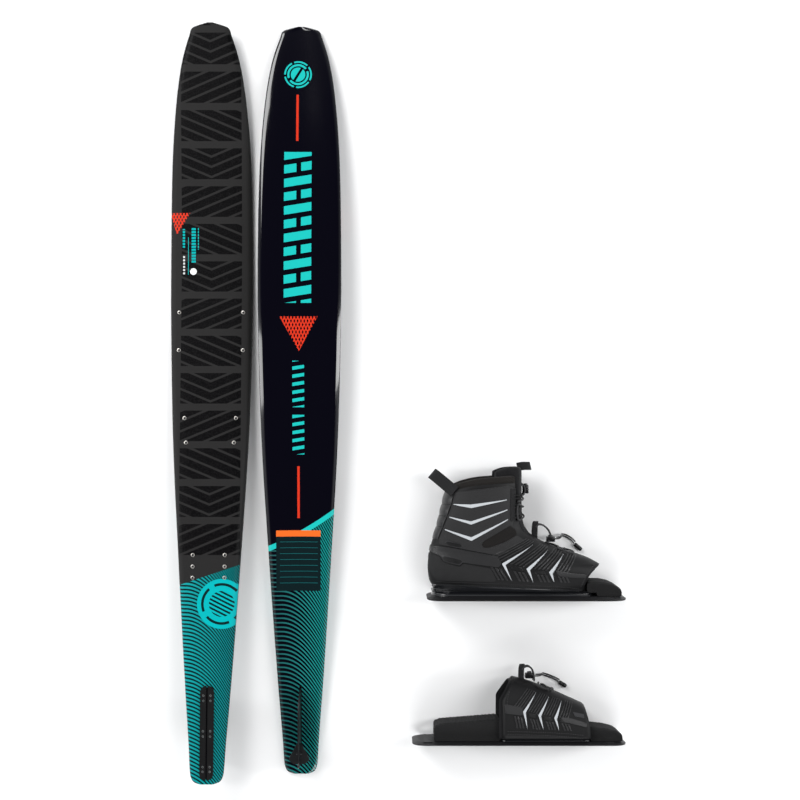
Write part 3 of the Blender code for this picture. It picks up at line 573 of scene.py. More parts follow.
def diagonal_mesh(name, colour, pitch, depth):
    """An open spacer mesh whose ribs run on the bias."""
    shade = Shade(name, colour, 0.85, Sheen_Weight=0.06, Specular_IOR_Level=0.2)
    weave = shade.math("MULTIPLY", shade.ribs((1, 1, 0.7), pitch), shade.ribs((1, -1, 0.7), pitch * 0.62))
    dark, light = (tuple(c * share for c in colour) for share in (0.45, 1.7))
    shade.put("Base Color", shade.mix(weave, dark, light))
    shade.relief(weave, depth)
    return shade.material


def webbing():
    shade = Shade("webbing_weave", (0.02, 0.02, 0.021), 0.8, Sheen_Weight=0.08, Specular_IOR_Level=0.2)
    weave = shade.math("MULTIPLY", shade.ribs((1, 0.4, 0), 1.3), shade.ribs((-0.4, 1, 0), 2.4))
    shade.put("Base Color", shade.mix(weave, (0.004, 0.004, 0.0045), (0.024, 0.0235, 0.025)))
    shade.relief(weave, 0.3)
    return shade.material


def braid():
    shade = Shade("lace_braid", (0.018, 0.018, 0.019), 0.55, Specular_IOR_Level=0.4)
    plait = shade.math("MULTIPLY", shade.ribs((1, 1, 0.3), 1.7), shade.ribs((1, -1, -0.3), 1.7))
    shade.put("Base Color", shade.mix(plait, (0.006, 0.006, 0.0065), (0.055, 0.055, 0.058)))
    shade.relief(plait, 0.35)
    return shade.material


def foam():
    """Closed-cell foam: matt, with fine pores."""
    shade = Shade("eva_foam", (0.02, 0.02, 0.02), 0.9, Specular_IOR_Level=0.2)
    pores = shade.cells(900)
    shade.put("Base Color", shade.mix(pores, (0.005, 0.005, 0.005), (0.017, 0.017, 0.0175)))
    shade.relief(pores, 0.25, 0.8)
    return shade.material


FINISH = {
    "deck": deck_film(),
    "base": base_film(),
    "edge": plain("edge_satin", (0.008, 0.008, 0.009), 0.35),
    "steel": plain("insert_steel", (0.5, 0.48, 0.45), 0.3, 1.0, depth=0.02),
    "screw": plain("screw_steel", (0.16, 0.17, 0.17), 0.4, 1.0, depth=0.02),
    "anodised": plain("clamp_anodised", (0.007, 0.007, 0.0075), 0.45, 0.4, depth=0.02),
    "fin": plain("fin_anodised", (0.03, 0.031, 0.033), 0.36, 0.85, depth=0.02),
    "nylon": plain("plate_nylon", (0.007, 0.007, 0.0078), 0.48, grain=800, depth=0.09,
                   Specular_IOR_Level=0.22),
    "rail": plain("rail_gloss", (0.008, 0.0085, 0.010), 0.24, grain=300, depth=0.03, Coat_Weight=0.3),
    "foam": foam(),
    "fabric": brushed_fabric(),
    "heel_fabric": plain("heel_fabric", (0.0065, 0.0065, 0.007), 0.7, grain=1100, depth=0.12,
                         Sheen_Weight=0.05),
    "rubber": plain("moulded_rubber", (0.021, 0.021, 0.0218), 0.34, grain=500, depth=0.05),
    "rubber_dark": plain("moulded_rubber_dark", (0.004, 0.004, 0.0044), 0.42, grain=500, depth=0.05),
    "skin": plain("upper_skin", (0.003, 0.003, 0.0034), 0.55, grain=900, depth=0.08, Specular_IOR_Level=0.25),
    "mesh": diagonal_mesh("collar_mesh", (0.014, 0.012, 0.0105), 3.0, 0.5),
    "flex_mesh": diagonal_mesh("flex_mesh", (0.008, 0.0066, 0.006), 1.7, 0.3),
    "lining": diagonal_mesh("tongue_fabric", (0.008, 0.008, 0.009), 1.2, 0.15),
    "webbing": webbing(),
    "lace": braid(),
    "plastic": plain("lock_plastic", (0.008, 0.008, 0.0085), 0.25, depth=0.03),
    "chevron": plain("reflective_print", (0.46, 0.48, 0.50), 0.45, depth=0.02, amount=0.05),
    "thread": plain("stitch_thread", (0.021, 0.021, 0.022), 0.6),
    "outline": plain("tag_outline", (0.03, 0.03, 0.032), 0.35),
}


# Pieces

def add_object(name, data):
    obj = bpy.data.objects.new(name, data)
    bpy.context.scene.collection.objects.link(obj)
    return obj


def set_on(obj, body, replaces):
    """Sets a finished piece on its body, or leaves a piece across the ankle where it is, and hides the CAD parts
    that it stands for.
    """
    if body == FLEX:
        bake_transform(obj)
    else:
        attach(obj, body)
    if replaces:
        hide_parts(*replaces)
    return obj


def put_piece(name, bm, place, finishes, body, replaces=(), sharp=35, outwards=True):
    """A finished piece: its mesh, drawn in a frame's millimetres, is brought to its place."""
    mesh = mesh_of(name, bm, outwards)
    mesh.transform(place)
    for finish in finishes:
        mesh.materials.append(FINISH[finish])
    mesh.shade_smooth()
    mesh.set_sharp_from_angle(angle=math.radians(sharp))
    return set_on(add_object(name, mesh), body, replaces)


def mesh_of(name, bm, outwards=True):
    if outwards:
        bmesh.ops.recalc_face_normals(bm, faces=bm.faces)
    mesh = bpy.data.meshes.new(name)
    bm.to_mesh(mesh)
    bm.free()
    return mesh


def rings_mesh(bm, rings):
    """Joins rings of equal point counts with faces and closes both ends; each ring is closed on itself."""
    rows = [[bm.verts.new(p) for p in ring] for ring in rings]
    faces = []
    for low, high in zip(rows, rows[1:]):
        for k in range(len(low)):
            after = (k + 1) % len(low)
            faces.append(bm.faces.new((low[k], low[after], high[after], high[k])))
    return [*faces, bm.faces.new(rows[0][::-1]), bm.faces.new(rows[-1])]


def sheet_mesh(bm, rows):
    """Joins rows of equal point counts into an open sheet."""
    rows = [[bm.verts.new(p) for p in row] for row in rows]
    for low, high in zip(rows, rows[1:]):
        for k in range(len(low) - 1):
            bm.faces.new((low[k], low[k + 1], high[k + 1], high[k]))


def put_rings(name, rings, place, finish, body, replaces=(), sharp=35):
    bm = bmesh.new()
    rings_mesh(bm, rings)
    return put_piece(name, bm, place, [finish], body, replaces, sharp)


def soften(obj, width, angle=40):
    """Rounds the sharp edges; the width is in millimetres."""
    bevel = obj.modifiers.new("soft_edges", "BEVEL")
    bevel.width = width * MM
    bevel.segments = 2
    bevel.limit_method = "ANGLE"
    bevel.angle_limit = math.radians(angle)


def thicken(obj, thickness, side=1.0):
    solid = obj.modifiers.new("thickness", "SOLIDIFY")
    solid.thickness = thickness * MM
    solid.offset = side


def rounded_outline(corners, radius, steps=4):
    """A polygon with its corners rounded; a corner may carry its own radius as a third number."""
    outline = []
    for k, corner in enumerate(corners):
        here = Vector(corner[:2])
        before, after = (Vector(corners[(k + side) % len(corners)][:2]) - here for side in (-1, 1))
        size = corner[2] if len(corner) > 2 else radius
        size = min(size, 0.45 * before.length, 0.45 * after.length)
        start, end = here + before.normalized() * size, here + after.normalized() * size
        for step in range(steps + 1):
            t = step / steps
            outline.append(tuple((1 - t) ** 2 * start + 2 * t * (1 - t) * here + t**2 * end))
    return outline


def block_rings(start, length, half_width, radius, levels, steps=12):
    """Rings of a block with rounded corners, drawn in by an inset at each level: (inset, z)."""
    end, middle, half_length = start + length, start + length / 2, length / 2
    corners = ((end, half_width), (start, half_width), (start, -half_width), (end, -half_width))
    outline = rounded_outline(corners, radius, steps)
    return [[(middle + (x - middle) * (1 - inset / half_length), y * (1 - inset / half_width), z)
             for x, y in outline] for inset, z in levels]


def prism_mesh(bm, outline, low, high):
    return rings_mesh(bm, [[(x, y, z) for x, y in outline] for z in (low, high)])


def circle(x, y, radius, count=24):
    return [(x + radius * math.cos(math.tau * k / count), y + radius * math.sin(math.tau * k / count))
            for k in range(count)]


def lace_curve(name, routes, diameter, place, body, node):
    """Round cords through their points, in a frame's millimetres."""
    curve = bpy.data.curves.new(name, "CURVE")
    curve.dimensions = "3D"
    curve.bevel_resolution = 4
    curve.use_fill_caps = True
    curve.bevel_depth = diameter / 2 * place.to_scale().x
    curve.materials.append(FINISH["lace"])
    for points in routes:
        spline = curve.splines.new("POLY")
        spline.points.add(len(points) - 1)
        for target, point in zip(spline.points, points):
            target.co = (*(place @ Vector(point)), 1)
    return set_on(add_object(name, curve), body, [node])


def band_mesh(bm, route, across, width, thickness):
    """A flat webbing band along a route, with rounded long edges."""
    across = Vector(across).normalized()
    half, lift, r = width / 2, thickness / 2, thickness * BAND_ROUNDING
    corners = ((-half, -lift + r), (-half + r, -lift), (half - r, -lift), (half, -lift + r),
               (half, lift - r), (half - r, lift), (-half + r, lift), (-half, lift - r))
    rings = []
    for k, point in enumerate(route):
        ahead, behind = route[min(k + 1, len(route) - 1)], route[max(k - 1, 0)]
        outward = (ahead - behind).normalized().cross(across)
        rings.append([point + across * a + outward * b for a, b in corners])
    return rings_mesh(bm, rings)


# The camera, the light and the floor

SOFT_BOXES = (
    ("key", (-1.6, 1.9, 2.2), (1.5, 1.5), 62),
    ("right_strip", (2.1, 0.1, 1.7), (0.45, 3.4), 46),
    ("left_strip", (-2.4, 0.0, 1.6), (0.45, 3.4), 35),
    ("front", (0.3, -2.3, 1.5), (2.4, 0.8), 26),
)
FLOOR_REACH = 6
FLOOR_GAP = 0.0006


def camera():
    data = bpy.data.cameras.new("camera")
    data.sensor_width = SENSOR
    data.lens = SENSOR * (CAMERA_HEIGHT - VIEW_LEVEL) / VIEW_WIDTH
    data.clip_end = 20
    obj = add_object("camera", data)
    obj.location = (CAMERA_X, 0, CAMERA_HEIGHT)
    bpy.context.scene.camera = obj


def soft_box(name, spot, size, power):
    """A rectangular light that looks at the middle of the floor."""
    data = bpy.data.lights.new(name, "AREA")
    data.shape = "RECTANGLE"
    data.size, data.size_y = size
    data.energy = power
    obj = add_object(name, data)
    obj.location = spot
    obj.rotation_mode = "QUATERNION"
    obj.rotation_quaternion = (-Vector(spot)).to_track_quat("-Z", "Y")


def horizon():
    """Light from low down and a dim ceiling, so that gloss black stays black between its bright edges."""
    world = bpy.data.worlds.new("studio")
    bpy.context.scene.world = world
    world.use_nodes = True
    tree = world.node_tree
    background = tree.nodes["Background"]
    background.inputs["Color"].default_value = (0.95, 0.97, 1.0, 1)
    direction = tree.nodes.new("ShaderNodeTexCoord")
    height = tree.nodes.new("ShaderNodeSeparateXYZ")
    tree.links.new(direction.outputs["Generated"], height.inputs[0])
    strength = tree.nodes.new("ShaderNodeMapRange")
    strength.interpolation_type = "SMOOTHSTEP"
    tree.links.new(height.outputs["Z"], strength.inputs["Value"])
    levels = {"From Min": 0.45, "From Max": 0.92, "To Min": HORIZON_LIGHT, "To Max": CEILING_LIGHT}
    for key, value in levels.items():
        strength.inputs[key].default_value = value
    tree.links.new(strength.outputs["Result"], background.inputs["Strength"])


def floor():
    mesh = bpy.data.meshes.new("floor")
    corners = [(x * FLOOR_REACH, y * FLOOR_REACH, 0) for x, y in ((-1, -1), (1, -1), (1, 1), (-1, 1))]
    mesh.from_pydata(corners, [], [(0, 1, 2, 3)])
    mesh.materials.append(Shade("floor_paper", (0.93, 0.93, 0.93), 0.9).material)
    obj = add_object("floor", mesh)
    obj.location.z = -FLOOR_GAP


def studio():
    bpy.context.scene.view_settings.view_transform = "Standard"
    horizon()
    for name, spot, size, power in SOFT_BOXES:
        soft_box(name, spot, size, power)
    floor()


# The free lace ends

def floor_point(place, spot, lift):
    point = place @ Vector((spot[0], 0, spot[1]))
    return Vector((point.x, point.y, lift * MM * GRADE))


def lace_barrel(name, place, barrel, body, node):
    """The moulded cord end: a barrel with two grip grooves and a rounded tip."""
    start, end = (floor_point(place, spot, BARREL_RADIUS) for spot in barrel)
    across = (end - start).normalized().cross(Vector((0, 0, 1)))
    profile = ((0, 0.5), (0.02, 0.72), (0.12, 0.96), (0.3, 1), (0.36, 0.9), (0.42, 1), (0.48, 0.9), (0.54, 1),
               (0.78, 0.98), (0.93, 0.86), (1, 0.66))
    rings = []
    for share, size in profile:
        middle, reach = start.lerp(end, share), BARREL_RADIUS * MM * GRADE * size
        rings.append([middle + across * x + Vector((0, 0, z)) for x, z in circle(0, 0, reach, 20)])
    return put_rings(name, rings, Matrix.Identity(4), "plastic", body, [node])


def lace_tails(prefix, place, route, barrel, body):
    """The two free ends of a lace: out of the lock, down to the floor and along it into one end barrel."""
    end = lace_barrel(f"{prefix}_lace_end_barrel", place, barrel, body, f"{prefix}_lace_end")
    diameter = LACE * GRADE
    for k in range(2):
        shift = LACE_SPACING * k
        spots = [floor_point(place, (x + 0.6 * shift, z + 0.8 * shift), lift) / MM for x, z, lift in route]
        points = smooth_route(spots, diameter * LACE_STEP)
        obj = lace_curve(f"{prefix}_lace_tail_visual_{k + 1}", [points], diameter, Matrix.Scale(MM, 4), body,
                         f"{prefix}_lace_tail_{k + 1}")


# The skis

def half_width(s):
    return read_table(SKI_HALF_WIDTHS, s)


def base_height(s):
    if s < BASE_FLAT[0]:
        return TAIL_RISE * ((BASE_FLAT[0] - s) / BASE_FLAT[0]) ** 2
    if s > BASE_FLAT[1]:
        return TIP_RISE * ((s - BASE_FLAT[1]) / (SKI_LENGTH - BASE_FLAT[1])) ** 2.2
    return 0.0


def deck_height(s):
    if s < DECK_FLAT[0]:
        return DECK_HEIGHT + TAIL_DECK_RISE * ((DECK_FLAT[0] - s) / DECK_FLAT[0]) ** 2
    if s > DECK_FLAT[1]:
        return DECK_HEIGHT + TIP_DECK_RISE * ((s - DECK_FLAT[1]) / (SKI_LENGTH - DECK_FLAT[1])) ** 1.6
    return DECK_HEIGHT


def ski_half_section(s):
    """From the base's middle outwards and over the deck to its middle: (x, z, finish number)."""
    width, low, high = half_width(s), base_height(s), deck_height(s)
    share = (high - low) / DECK_HEIGHT
    chamfer, bevel = min(DECK_CHAMFER, 0.4 * width), min(BASE_BEVEL, 0.4 * width)
    points = []
    for k in range(9):
        t = k / 8
        points.append((t * (width - bevel), low + CONCAVE * share * 0.5 * (1 + math.cos(math.pi * t)), 1))
    for k in range(1, 7):
        t = k / 7
        points.append((width - bevel * (1 - t), low + EDGE_LOW * share * t**1.6, 1))
    points.append((width, low + (EDGE_LOW + 0.6) * share, 2))
    points.append((width, low + (EDGE_HIGH - 0.6) * share, 2))
    edge = low + EDGE_HIGH * share
    for k in range(1, 8):
        angle = math.pi / 2 * k / 8
        points.append((width - chamfer * (1 - math.cos(angle)), edge + (high - edge) * math.sin(angle), 0))
    for t in (1.0, 0.66, 0.33, 0.0):
        points.append((t * (width - chamfer), high, 0))
    return points


def ski_hull(prefix, place):
    """The whole ski as one smooth body: base film, edge and deck film, printed by its plan."""
    shares = [0.5 - 0.5 * math.cos(math.pi * k / SKI_STATIONS) for k in range(SKI_STATIONS + 1)]
    stations = [0, 1, 3, 6, 9, 14, *(20 + 1572 * share for share in shares), 1596, SKI_LENGTH]
    rings = []
    for s in stations:
        half = ski_half_section(s)
        ring = half + [(-x, z, kind) for x, z, kind in reversed(half[1:-1])]
        rings.append([Vector((x, s, z)) for x, z, _ in ring])
    kinds = [kind for _, _, kind in ring]
    bm = bmesh.new()
    *sides, tail_end, tip_end = rings_mesh(bm, rings)
    for k, face in enumerate(sides):
        column = k % len(kinds)
        face.material_index = kinds[column if column < len(half) - 1 else (column + 1) % len(kinds)]
    tail_end.material_index = tip_end.material_index = 2
    layer = bm.loops.layers.uv.new("place")
    for face in bm.faces:
        for loop in face.loops:
            loop[layer].uv = (loop.vert.co.x * MM, loop.vert.co.y * MM)
    covered = ("base_sheet", "core", "top_sheet", "front_insert_plate", "rear_insert_plate")
    put_piece(f"{prefix}_hull", bm, place, ["deck", "base", "edge"], prefix,
              [f"{prefix}_{name}" for name in covered], 24)


def lathe(bm, profile, middle, count=24):
    """A profile of (radius, height) turned about an upright line through a middle point."""
    x, y, z = middle
    return rings_mesh(bm, [[(u, v, z + up) for u, v in circle(x, y, r, count)] for r, up in profile])


def ski_inserts(prefix, place):
    """A turned steel insert at each binding screw, its shallow bore given the dark clamp finish as painted shade
    for the deep threaded hole.
    """
    bm = bmesh.new()
    profile = ((3.9, -0.8), (4.0, 0.1), (3.7, 0.28), (2.6, 0.28), (2.35, 0.1), (2.3, -0.75), (0.2, -0.78))
    bore_row, count = 4, 24
    for s, x in FRONT_INSERTS + REAR_INSERTS:
        for side in (-1, 1):
            # Painted shade: the bore's wall and floor take the dark clamp finish, standing in for a deep hole in
            # shadow.
            for face in lathe(bm, profile, (side * x, s, DECK_HEIGHT), count)[bore_row * count:]:
                face.material_index = 1
    put_piece(f"{prefix}_inserts", bm, place, ["steel", "anodised"], prefix)


def fin_clamp(prefix, place, side):
    """One jaw of the fin clamp, with its screws."""
    word = "left" if side < 0 else "right"
    start, end = CLAMP_ENDS
    radius, inner = CLAMP_WIDTH / 2, FIN_THICKNESS / 2 + CLAMP_GAP
    outline = [(side * inner, start + 0.4)]
    for middle, first in ((start + radius, -90), (end - radius, 0)):
        for k in range(13):
            angle = math.radians(first + 90 * k / 12)
            outline.append((side * max(inner, radius * math.cos(angle)), middle + radius * math.sin(angle)))
    outline.append((side * inner, end - 0.4))
    outline = [p for k, p in enumerate(outline) if (Vector(p) - Vector(outline[k - 1])).length > 0.2]
    bm = bmesh.new()
    prism_mesh(bm, outline, CLAMP_FOOT, CLAMP_TOP)
    jaw = put_piece(f"{prefix}_clamp_jaw_{word}", bm, place, ["anodised"], prefix,
                    [f"{prefix}_fin_clamp_{word}"])
    soften(jaw, 0.7)
    bm = bmesh.new()
    head = ((2.3, -0.5), (2.3, 0.2), (2.0, 0.4), (1.3, 0.4), (1.15, -0.25), (0.1, -0.3))
    for s in CLAMP_SCREWS:
        lathe(bm, head, (side * CLAMP_SCREW_X, s, CLAMP_TOP), 16)
    put_piece(f"{prefix}_clamp_screws_{word}", bm, place, ["screw"], prefix)


def ski_fittings(prefix):
    """The CAD fin and wing keep their shape and get their anodised finish and soft edges."""
    for node in (f"{prefix}_fin", f"{prefix}_fin_wing"):
        obj = frame["nodes"][node]
        for slot in obj.material_slots:
            slot.material = FINISH["fin"]
        soften(obj, 0.35, 30)


def ski(prefix, place):
    ski_hull(prefix, place)
    ski_inserts(prefix, place)
    for side in (-1, 1):
        fin_clamp(prefix, place, side)
    ski_fittings(prefix)


# The skins of the two uppers

def boot_level(z):
    return [read_table(BOOT_LEVELS, z, column) for column in (1, 2, 3)]


def heel_narrowing(x, z):
    return 1 - HEEL_NARROWING * min(1, max(0, (210 - x) / 150)) * min(1, max(0, (150 - z) / 60))


def boot_point(turn, z, lift=0.0):
    """A point on the boot's skin: turn 0 is the toe side, half a turn the heel."""
    heel, toe, width = boot_level(z)
    reach, c, s = (toe - heel) / 2 + lift, math.cos(turn), math.sin(turn)
    x = (toe + heel) / 2 + reach * math.copysign(abs(c) ** SQUARENESS, c)
    half = (width + lift) * heel_narrowing(x, z)
    return Vector((x, half * math.copysign(abs(s) ** SQUARENESS, s), z))


def boot_turn(x, z):
    """The turn at which the boot's skin is this far along."""
    heel, toe, _ = boot_level(z)
    share = max(-1.0, min(1.0, (x - (toe + heel) / 2) / ((toe - heel) / 2)))
    return math.acos(math.copysign(abs(share) ** (1 / SQUARENESS), share))


def boot_side(x, z, lift=0.0):
    return boot_point(boot_turn(x, z), z, lift)


def toe_side(x, z, lift=0.0):
    """The toe piece's skin at a place in its side view."""
    above, bend = max(0, z - 84), max(0, z - 36)
    along = (x - TOE_ARCH[0] - 0.6 * above) / (TOE_ARCH[1] - TOE_ARCH[0] - 0.6 * above - 0.22 * bend)
    crown = read_table(TOE_CROWN, along)
    s = min(1.0, max(0.0, (z - TOE_BASE) / (crown - TOE_BASE))) ** (1 / 0.78)
    c = math.sqrt(1 - s * s)
    return Vector((x, (TOE_HALF_WIDTH + lift) * c**0.7, z + lift * s))


def toe_point(along, turn, lift=0.0):
    """A point on the toe piece's arch: along it from rear to front, and round it from side to side."""
    c, s = math.cos(turn), math.sin(turn)
    crown = read_table(TOE_CROWN, along) + lift
    z = TOE_BASE + (crown - TOE_BASE) * abs(s) ** 0.78
    y = (TOE_HALF_WIDTH + lift) * math.copysign(abs(c) ** 0.7, c)
    x = TOE_ARCH[0] + (TOE_ARCH[1] - TOE_ARCH[0]) * along
    x += 0.6 * max(0, z - 84) * (1 - along) - 0.22 * max(0, z - 36) * along
    return Vector((x, y, z))


def signed_area(outline):
    return sum(a[0] * b[1] - b[0] * a[1] for a, b in zip(outline, outline[1:] + outline[:1])) / 2


def cut_in_cells(outline, cell):
    """A flat outline cut along a square grid, so that it can follow a curved skin."""
    bm = bmesh.new()
    bm.faces.new([bm.verts.new((u, v, 0)) for u, v in outline])
    bm.normal_update()
    bmesh.ops.triangulate(bm, faces=bm.faces[:], ngon_method="EAR_CLIP")
    for axis, normal in ((0, Vector((1, 0, 0))), (1, Vector((0, 1, 0)))):
        values = [v.co[axis] for v in bm.verts]
        for k in range(math.floor(min(values) / cell) + 1, math.ceil(max(values) / cell)):
            geometry = bm.verts[:] + bm.edges[:] + bm.faces[:]
            bmesh.ops.bisect_plane(bm, geom=geometry, dist=1e-4, plane_co=normal * cell * k, plane_no=normal)
    return bm


def lay_on(bm, outline, skin, cell, lift):
    """Lays a side-view outline on both sides of a skin."""
    if signed_area(outline) < 0:
        outline = outline[::-1]
    flat = cut_in_cells(outline, cell)
    for side in (-1, 1):
        copies = {}
        for vertex in flat.verts:
            point = skin(vertex.co.x, vertex.co.y, lift)
            copies[vertex] = bm.verts.new((point.x, side * abs(point.y), point.z))
        for face in flat.faces:
            loop = [copies[v] for v in face.verts]
            bm.faces.new(loop if side < 0 else loop[::-1])
    flat.free()


class Binding:
    """Draws the overlays of one upper."""

    def __init__(self, prefix, place, skin, chevrons, body):
        self.prefix, self.place, self.skin, self.chevrons, self.body = prefix, place, skin, chevrons, body

    def panel(self, name, outlines, thickness, finish, slot="upper_black", lift=-0.3, cell=5.0, edge=0.4,
              bend=False, corner=2.0):
        """Outlines in side view, laid on both sides of the skin as one piece."""
        bm = bmesh.new()
        for outline in outlines:
            lay_on(bm, rounded_outline(outline, corner), self.skin, cell, lift)
        bmesh.ops.remove_doubles(bm, verts=bm.verts, dist=0.01)
        body = FLEX if bend else self.body
        obj = put_piece(f"{self.prefix}_{name}", bm, self.place, [finish], body, outwards=False)
        thicken(obj, (thickness - lift) * GRADE)
        if edge:
            soften(obj, edge * GRADE)

    def stitching(self, name, routes, bend=False, lift=0.0, **options):
        bm = bmesh.new()
        for route in routes:
            stitches(bm, self.skin, route, lift, **options)
        body = FLEX if bend else self.body
        put_piece(f"{self.prefix}_{name}", bm, self.place, ["thread"], body)

    def arm(self, number, share):
        """A place on a chevron: share 0 at its vertex, 1 at its upper tip, -1 at its lower tip."""
        vx, vz, ux, uz, lx, lz = (read_table(self.chevrons, number, column) for column in range(1, 7))
        if share >= 0:
            return vx + share * ux, vz + share * uz
        return vx - share * lx, vz - share * lz

    def strip(self, first, last, low, high, steps=4):
        """A piece of the chevron pattern between two numbers and two shares of their arms."""
        shares = [low + (high - low) * k / steps for k in range(steps + 1)]
        back = [self.arm(last, share) for share in reversed(shares)]
        return [self.arm(first, share) for share in shares] + back

    def chevron(self, number, width, top_share):
        """A printed chevron, widest at its vertex and coming to a point at both tips."""
        top, vertex, bottom = (self.arm(number, share) for share in (top_share, 0, -1))
        return [top, vertex, bottom, (vertex[0] + width, vertex[1] - 0.35 * width)]


def stitches(bm, skin, route, lift, pitch=3.3, size=(2.1, 0.8, 0.55)):
    """A row of thread dashes along a side-view route, each of a length, a width and a height."""
    points = [Vector((x, 0, z)) for x, z in route]
    length, width, height = size
    for side in (-1, 1):
        def at(x, z, up):
            point = skin(x, z, up)
            return Vector((point.x, side * abs(point.y), point.z))

        for k in range(int(length_of(points) / pitch)):
            left = (k + 0.5) * pitch
            for a, b in zip(points, points[1:]):
                if left <= (b - a).length:
                    break
                left -= (b - a).length
            along = (b - a).normalized()
            spot = a + along * left
            ends = [at(spot.x + along.x * reach, spot.z + along.z * reach, lift)
                    for reach in (-length / 2, length / 2)]
            outward = at(spot.x, spot.z, lift + 1.0) - at(spot.x, spot.z, lift)
            if min(outward.length, (ends[1] - ends[0]).length) < 1e-4:
                continue
            outward.normalize()
            across = (ends[1] - ends[0]).normalized().cross(outward).normalized() * width / 2
            rings = []
            for share, scale, rise in ((0, 0.5, 0.2), (0.25, 1, 1), (0.75, 1, 1), (1, 0.5, 0.2)):
                middle = ends[0].lerp(ends[1], share)
                low, high = outward * -0.3, outward * height * rise
                rings.append([middle - across * scale + low, middle + across * scale + low,
                              middle + across * scale * 0.6 + high, middle - across * scale * 0.6 + high])
            rings_mesh(bm, rings)


# The front boot

def skin_rows(levels, start_at, lift=0.0, columns=120):
    """Rows of points round the boot's skin, each open at the toe from where its level starts."""
    rows = []
    for z in levels:
        start = start_at(z)
        rows.append([boot_point(start + (math.tau - 2 * start) * k / columns, z, lift)
                     for k in range(columns + 1)])
    return rows


def boot_shell():
    """The boot's skin from the sole to above the ankle, open at the toe."""
    def mouth(z):
        return boot_turn(read_table(MOUTH, z), z) if z < MOUTH[-1][0] else 0.0

    levels = [SHELL_LOW + 1.2 * k for k in range(3)] + [22 + 3.4 * k for k in range(39)]
    bm = bmesh.new()
    sheet_mesh(bm, skin_rows(levels, mouth))
    bmesh.ops.remove_doubles(bm, verts=bm.verts, dist=0.01)
    obj = put_piece("boot_upper_skin", bm, BOOT, ["skin"], FLEX,
                    ["boot_shell", "boot_flex_zone"], outwards=False)
    thicken(obj, 4.6 * GRADE, -1.0)


def boot_liner():
    """The soft lining, whose dark lip stands out of the toe opening."""
    def lip(z):
        return boot_turn(read_table(MOUTH, z) + LINER_PROUD * math.sin(math.pi * (z - 36) / 42), z)

    bm = bmesh.new()
    sheet_mesh(bm, skin_rows([40 + 3.5 * k for k in range(11)], lip, -4.9, 90))
    obj = put_piece("boot_toe_lining", bm, BOOT, ["lining"], "boot", outwards=False)
    thicken(obj, 2.4 * GRADE, -1.0)


def collar_top(turn):
    back = (1 - math.cos(turn)) / 2
    return 236 - 20 * back**2.5


def padded_band(name, finish, node, turns, low, top, face, thickness, puff, rim=None, columns=90,
                rows=16):
    """A padded band round the ankle: up its face, over a rounded rim and down its inside.

    Its top and face depend on the turn round the boot, its puff on the share of the way up and the height.
    """
    half = thickness / 2
    rim = rim or half
    rings = []
    for column in range(columns + 1):
        turn = turns[0] + (turns[1] - turns[0]) * column / columns
        lift, rise = face(turn), top(turn) - rim - low
        section = []
        for step in range(rows + 1):
            z = low + rise * step / rows
            section.append(boot_point(turn, z, lift + puff(step / rows, z)))
        for step in range(1, 8):
            angle = math.pi * step / 8
            section.append(boot_point(turn, low + rise + rim * math.sin(angle),
                                      lift - half + half * math.cos(angle)))
        for step in range(rows + 1):
            section.append(boot_point(turn, low + rise - rise * step / rows, lift - thickness))
        rings.append(section)
    put_rings(name, rings, BOOT, finish, FLEX, [node], 50)


def boot_cuff():
    padded_band("boot_collar_pad", "mesh", "boot_collar", (0.62, math.tau - 0.62), 150,
                collar_top, lambda turn: -3.5, 8.5, lambda share, z: 0.9 * math.sin(math.pi * share))
    padded_band("boot_cuff_skin", "skin", "boot_cuff", (0.72, math.tau - 0.72), 144,
                lambda turn: collar_top(turn) - 13, lambda turn: -0.5, 2.9,
                lambda share, z: 0.18 * math.sin(math.pi * share))
    padded_band("boot_tongue_pad", "lining", "boot_tongue", (-TONGUE_REACH, TONGUE_REACH), 128,
                tongue_top, lambda turn: -tongue_depth(turn), 9,
                lambda share, z: 0.36 * math.sin(math.pi * share * 6) ** 2 * (z > 150), 5, 44, 22)


def tongue_depth(turn):
    """How far the tongue's face is inside the skin: it tucks behind the cuff at both sides."""
    share = min(1.0, max(0.0, (abs(turn) - 0.5) / 0.4))
    return -0.6 + 14.2 * share * share * (3 - 2 * share)


def tongue_top(turn):
    return 252.5 - 9 * (turn / TONGUE_REACH) ** 4 - 3 * (1 - min(1.0, abs(turn) / 0.5)) ** 2


# The Achilles strip's scales: height, and how far along the boot the strip reaches there.
SPINE = ((114, 22), (138, 31.5), (159, 39.5), (181, 47), (204, 53.5))


def heel_spine():
    """The Achilles strip: overlapping scales up the heel, each bulging over the next."""
    bm = bmesh.new()
    for (low, _), (high, _) in zip(SPINE, SPINE[1:]):
        rings = []
        for row in range(9):
            z = low + 0.6 + (high - low - 1.2) * row / 8
            reach = boot_turn(read_table(SPINE, z), z)
            bulge = 2.4 * math.sin(math.pi * (0.12 + 0.76 * row / 8)) + 0.5
            turns = [reach + (math.tau - 2 * reach) * c / 18 for c in range(19)]
            inside = [boot_point(t, z, -0.8) for t in reversed(turns)]
            rings.append([boot_point(t, z, bulge) for t in turns] + inside)
        rings_mesh(bm, rings)
    put_piece("boot_spine_scales", bm, BOOT, ["rubber"], FLEX, ["boot_heel_spine"], 40)


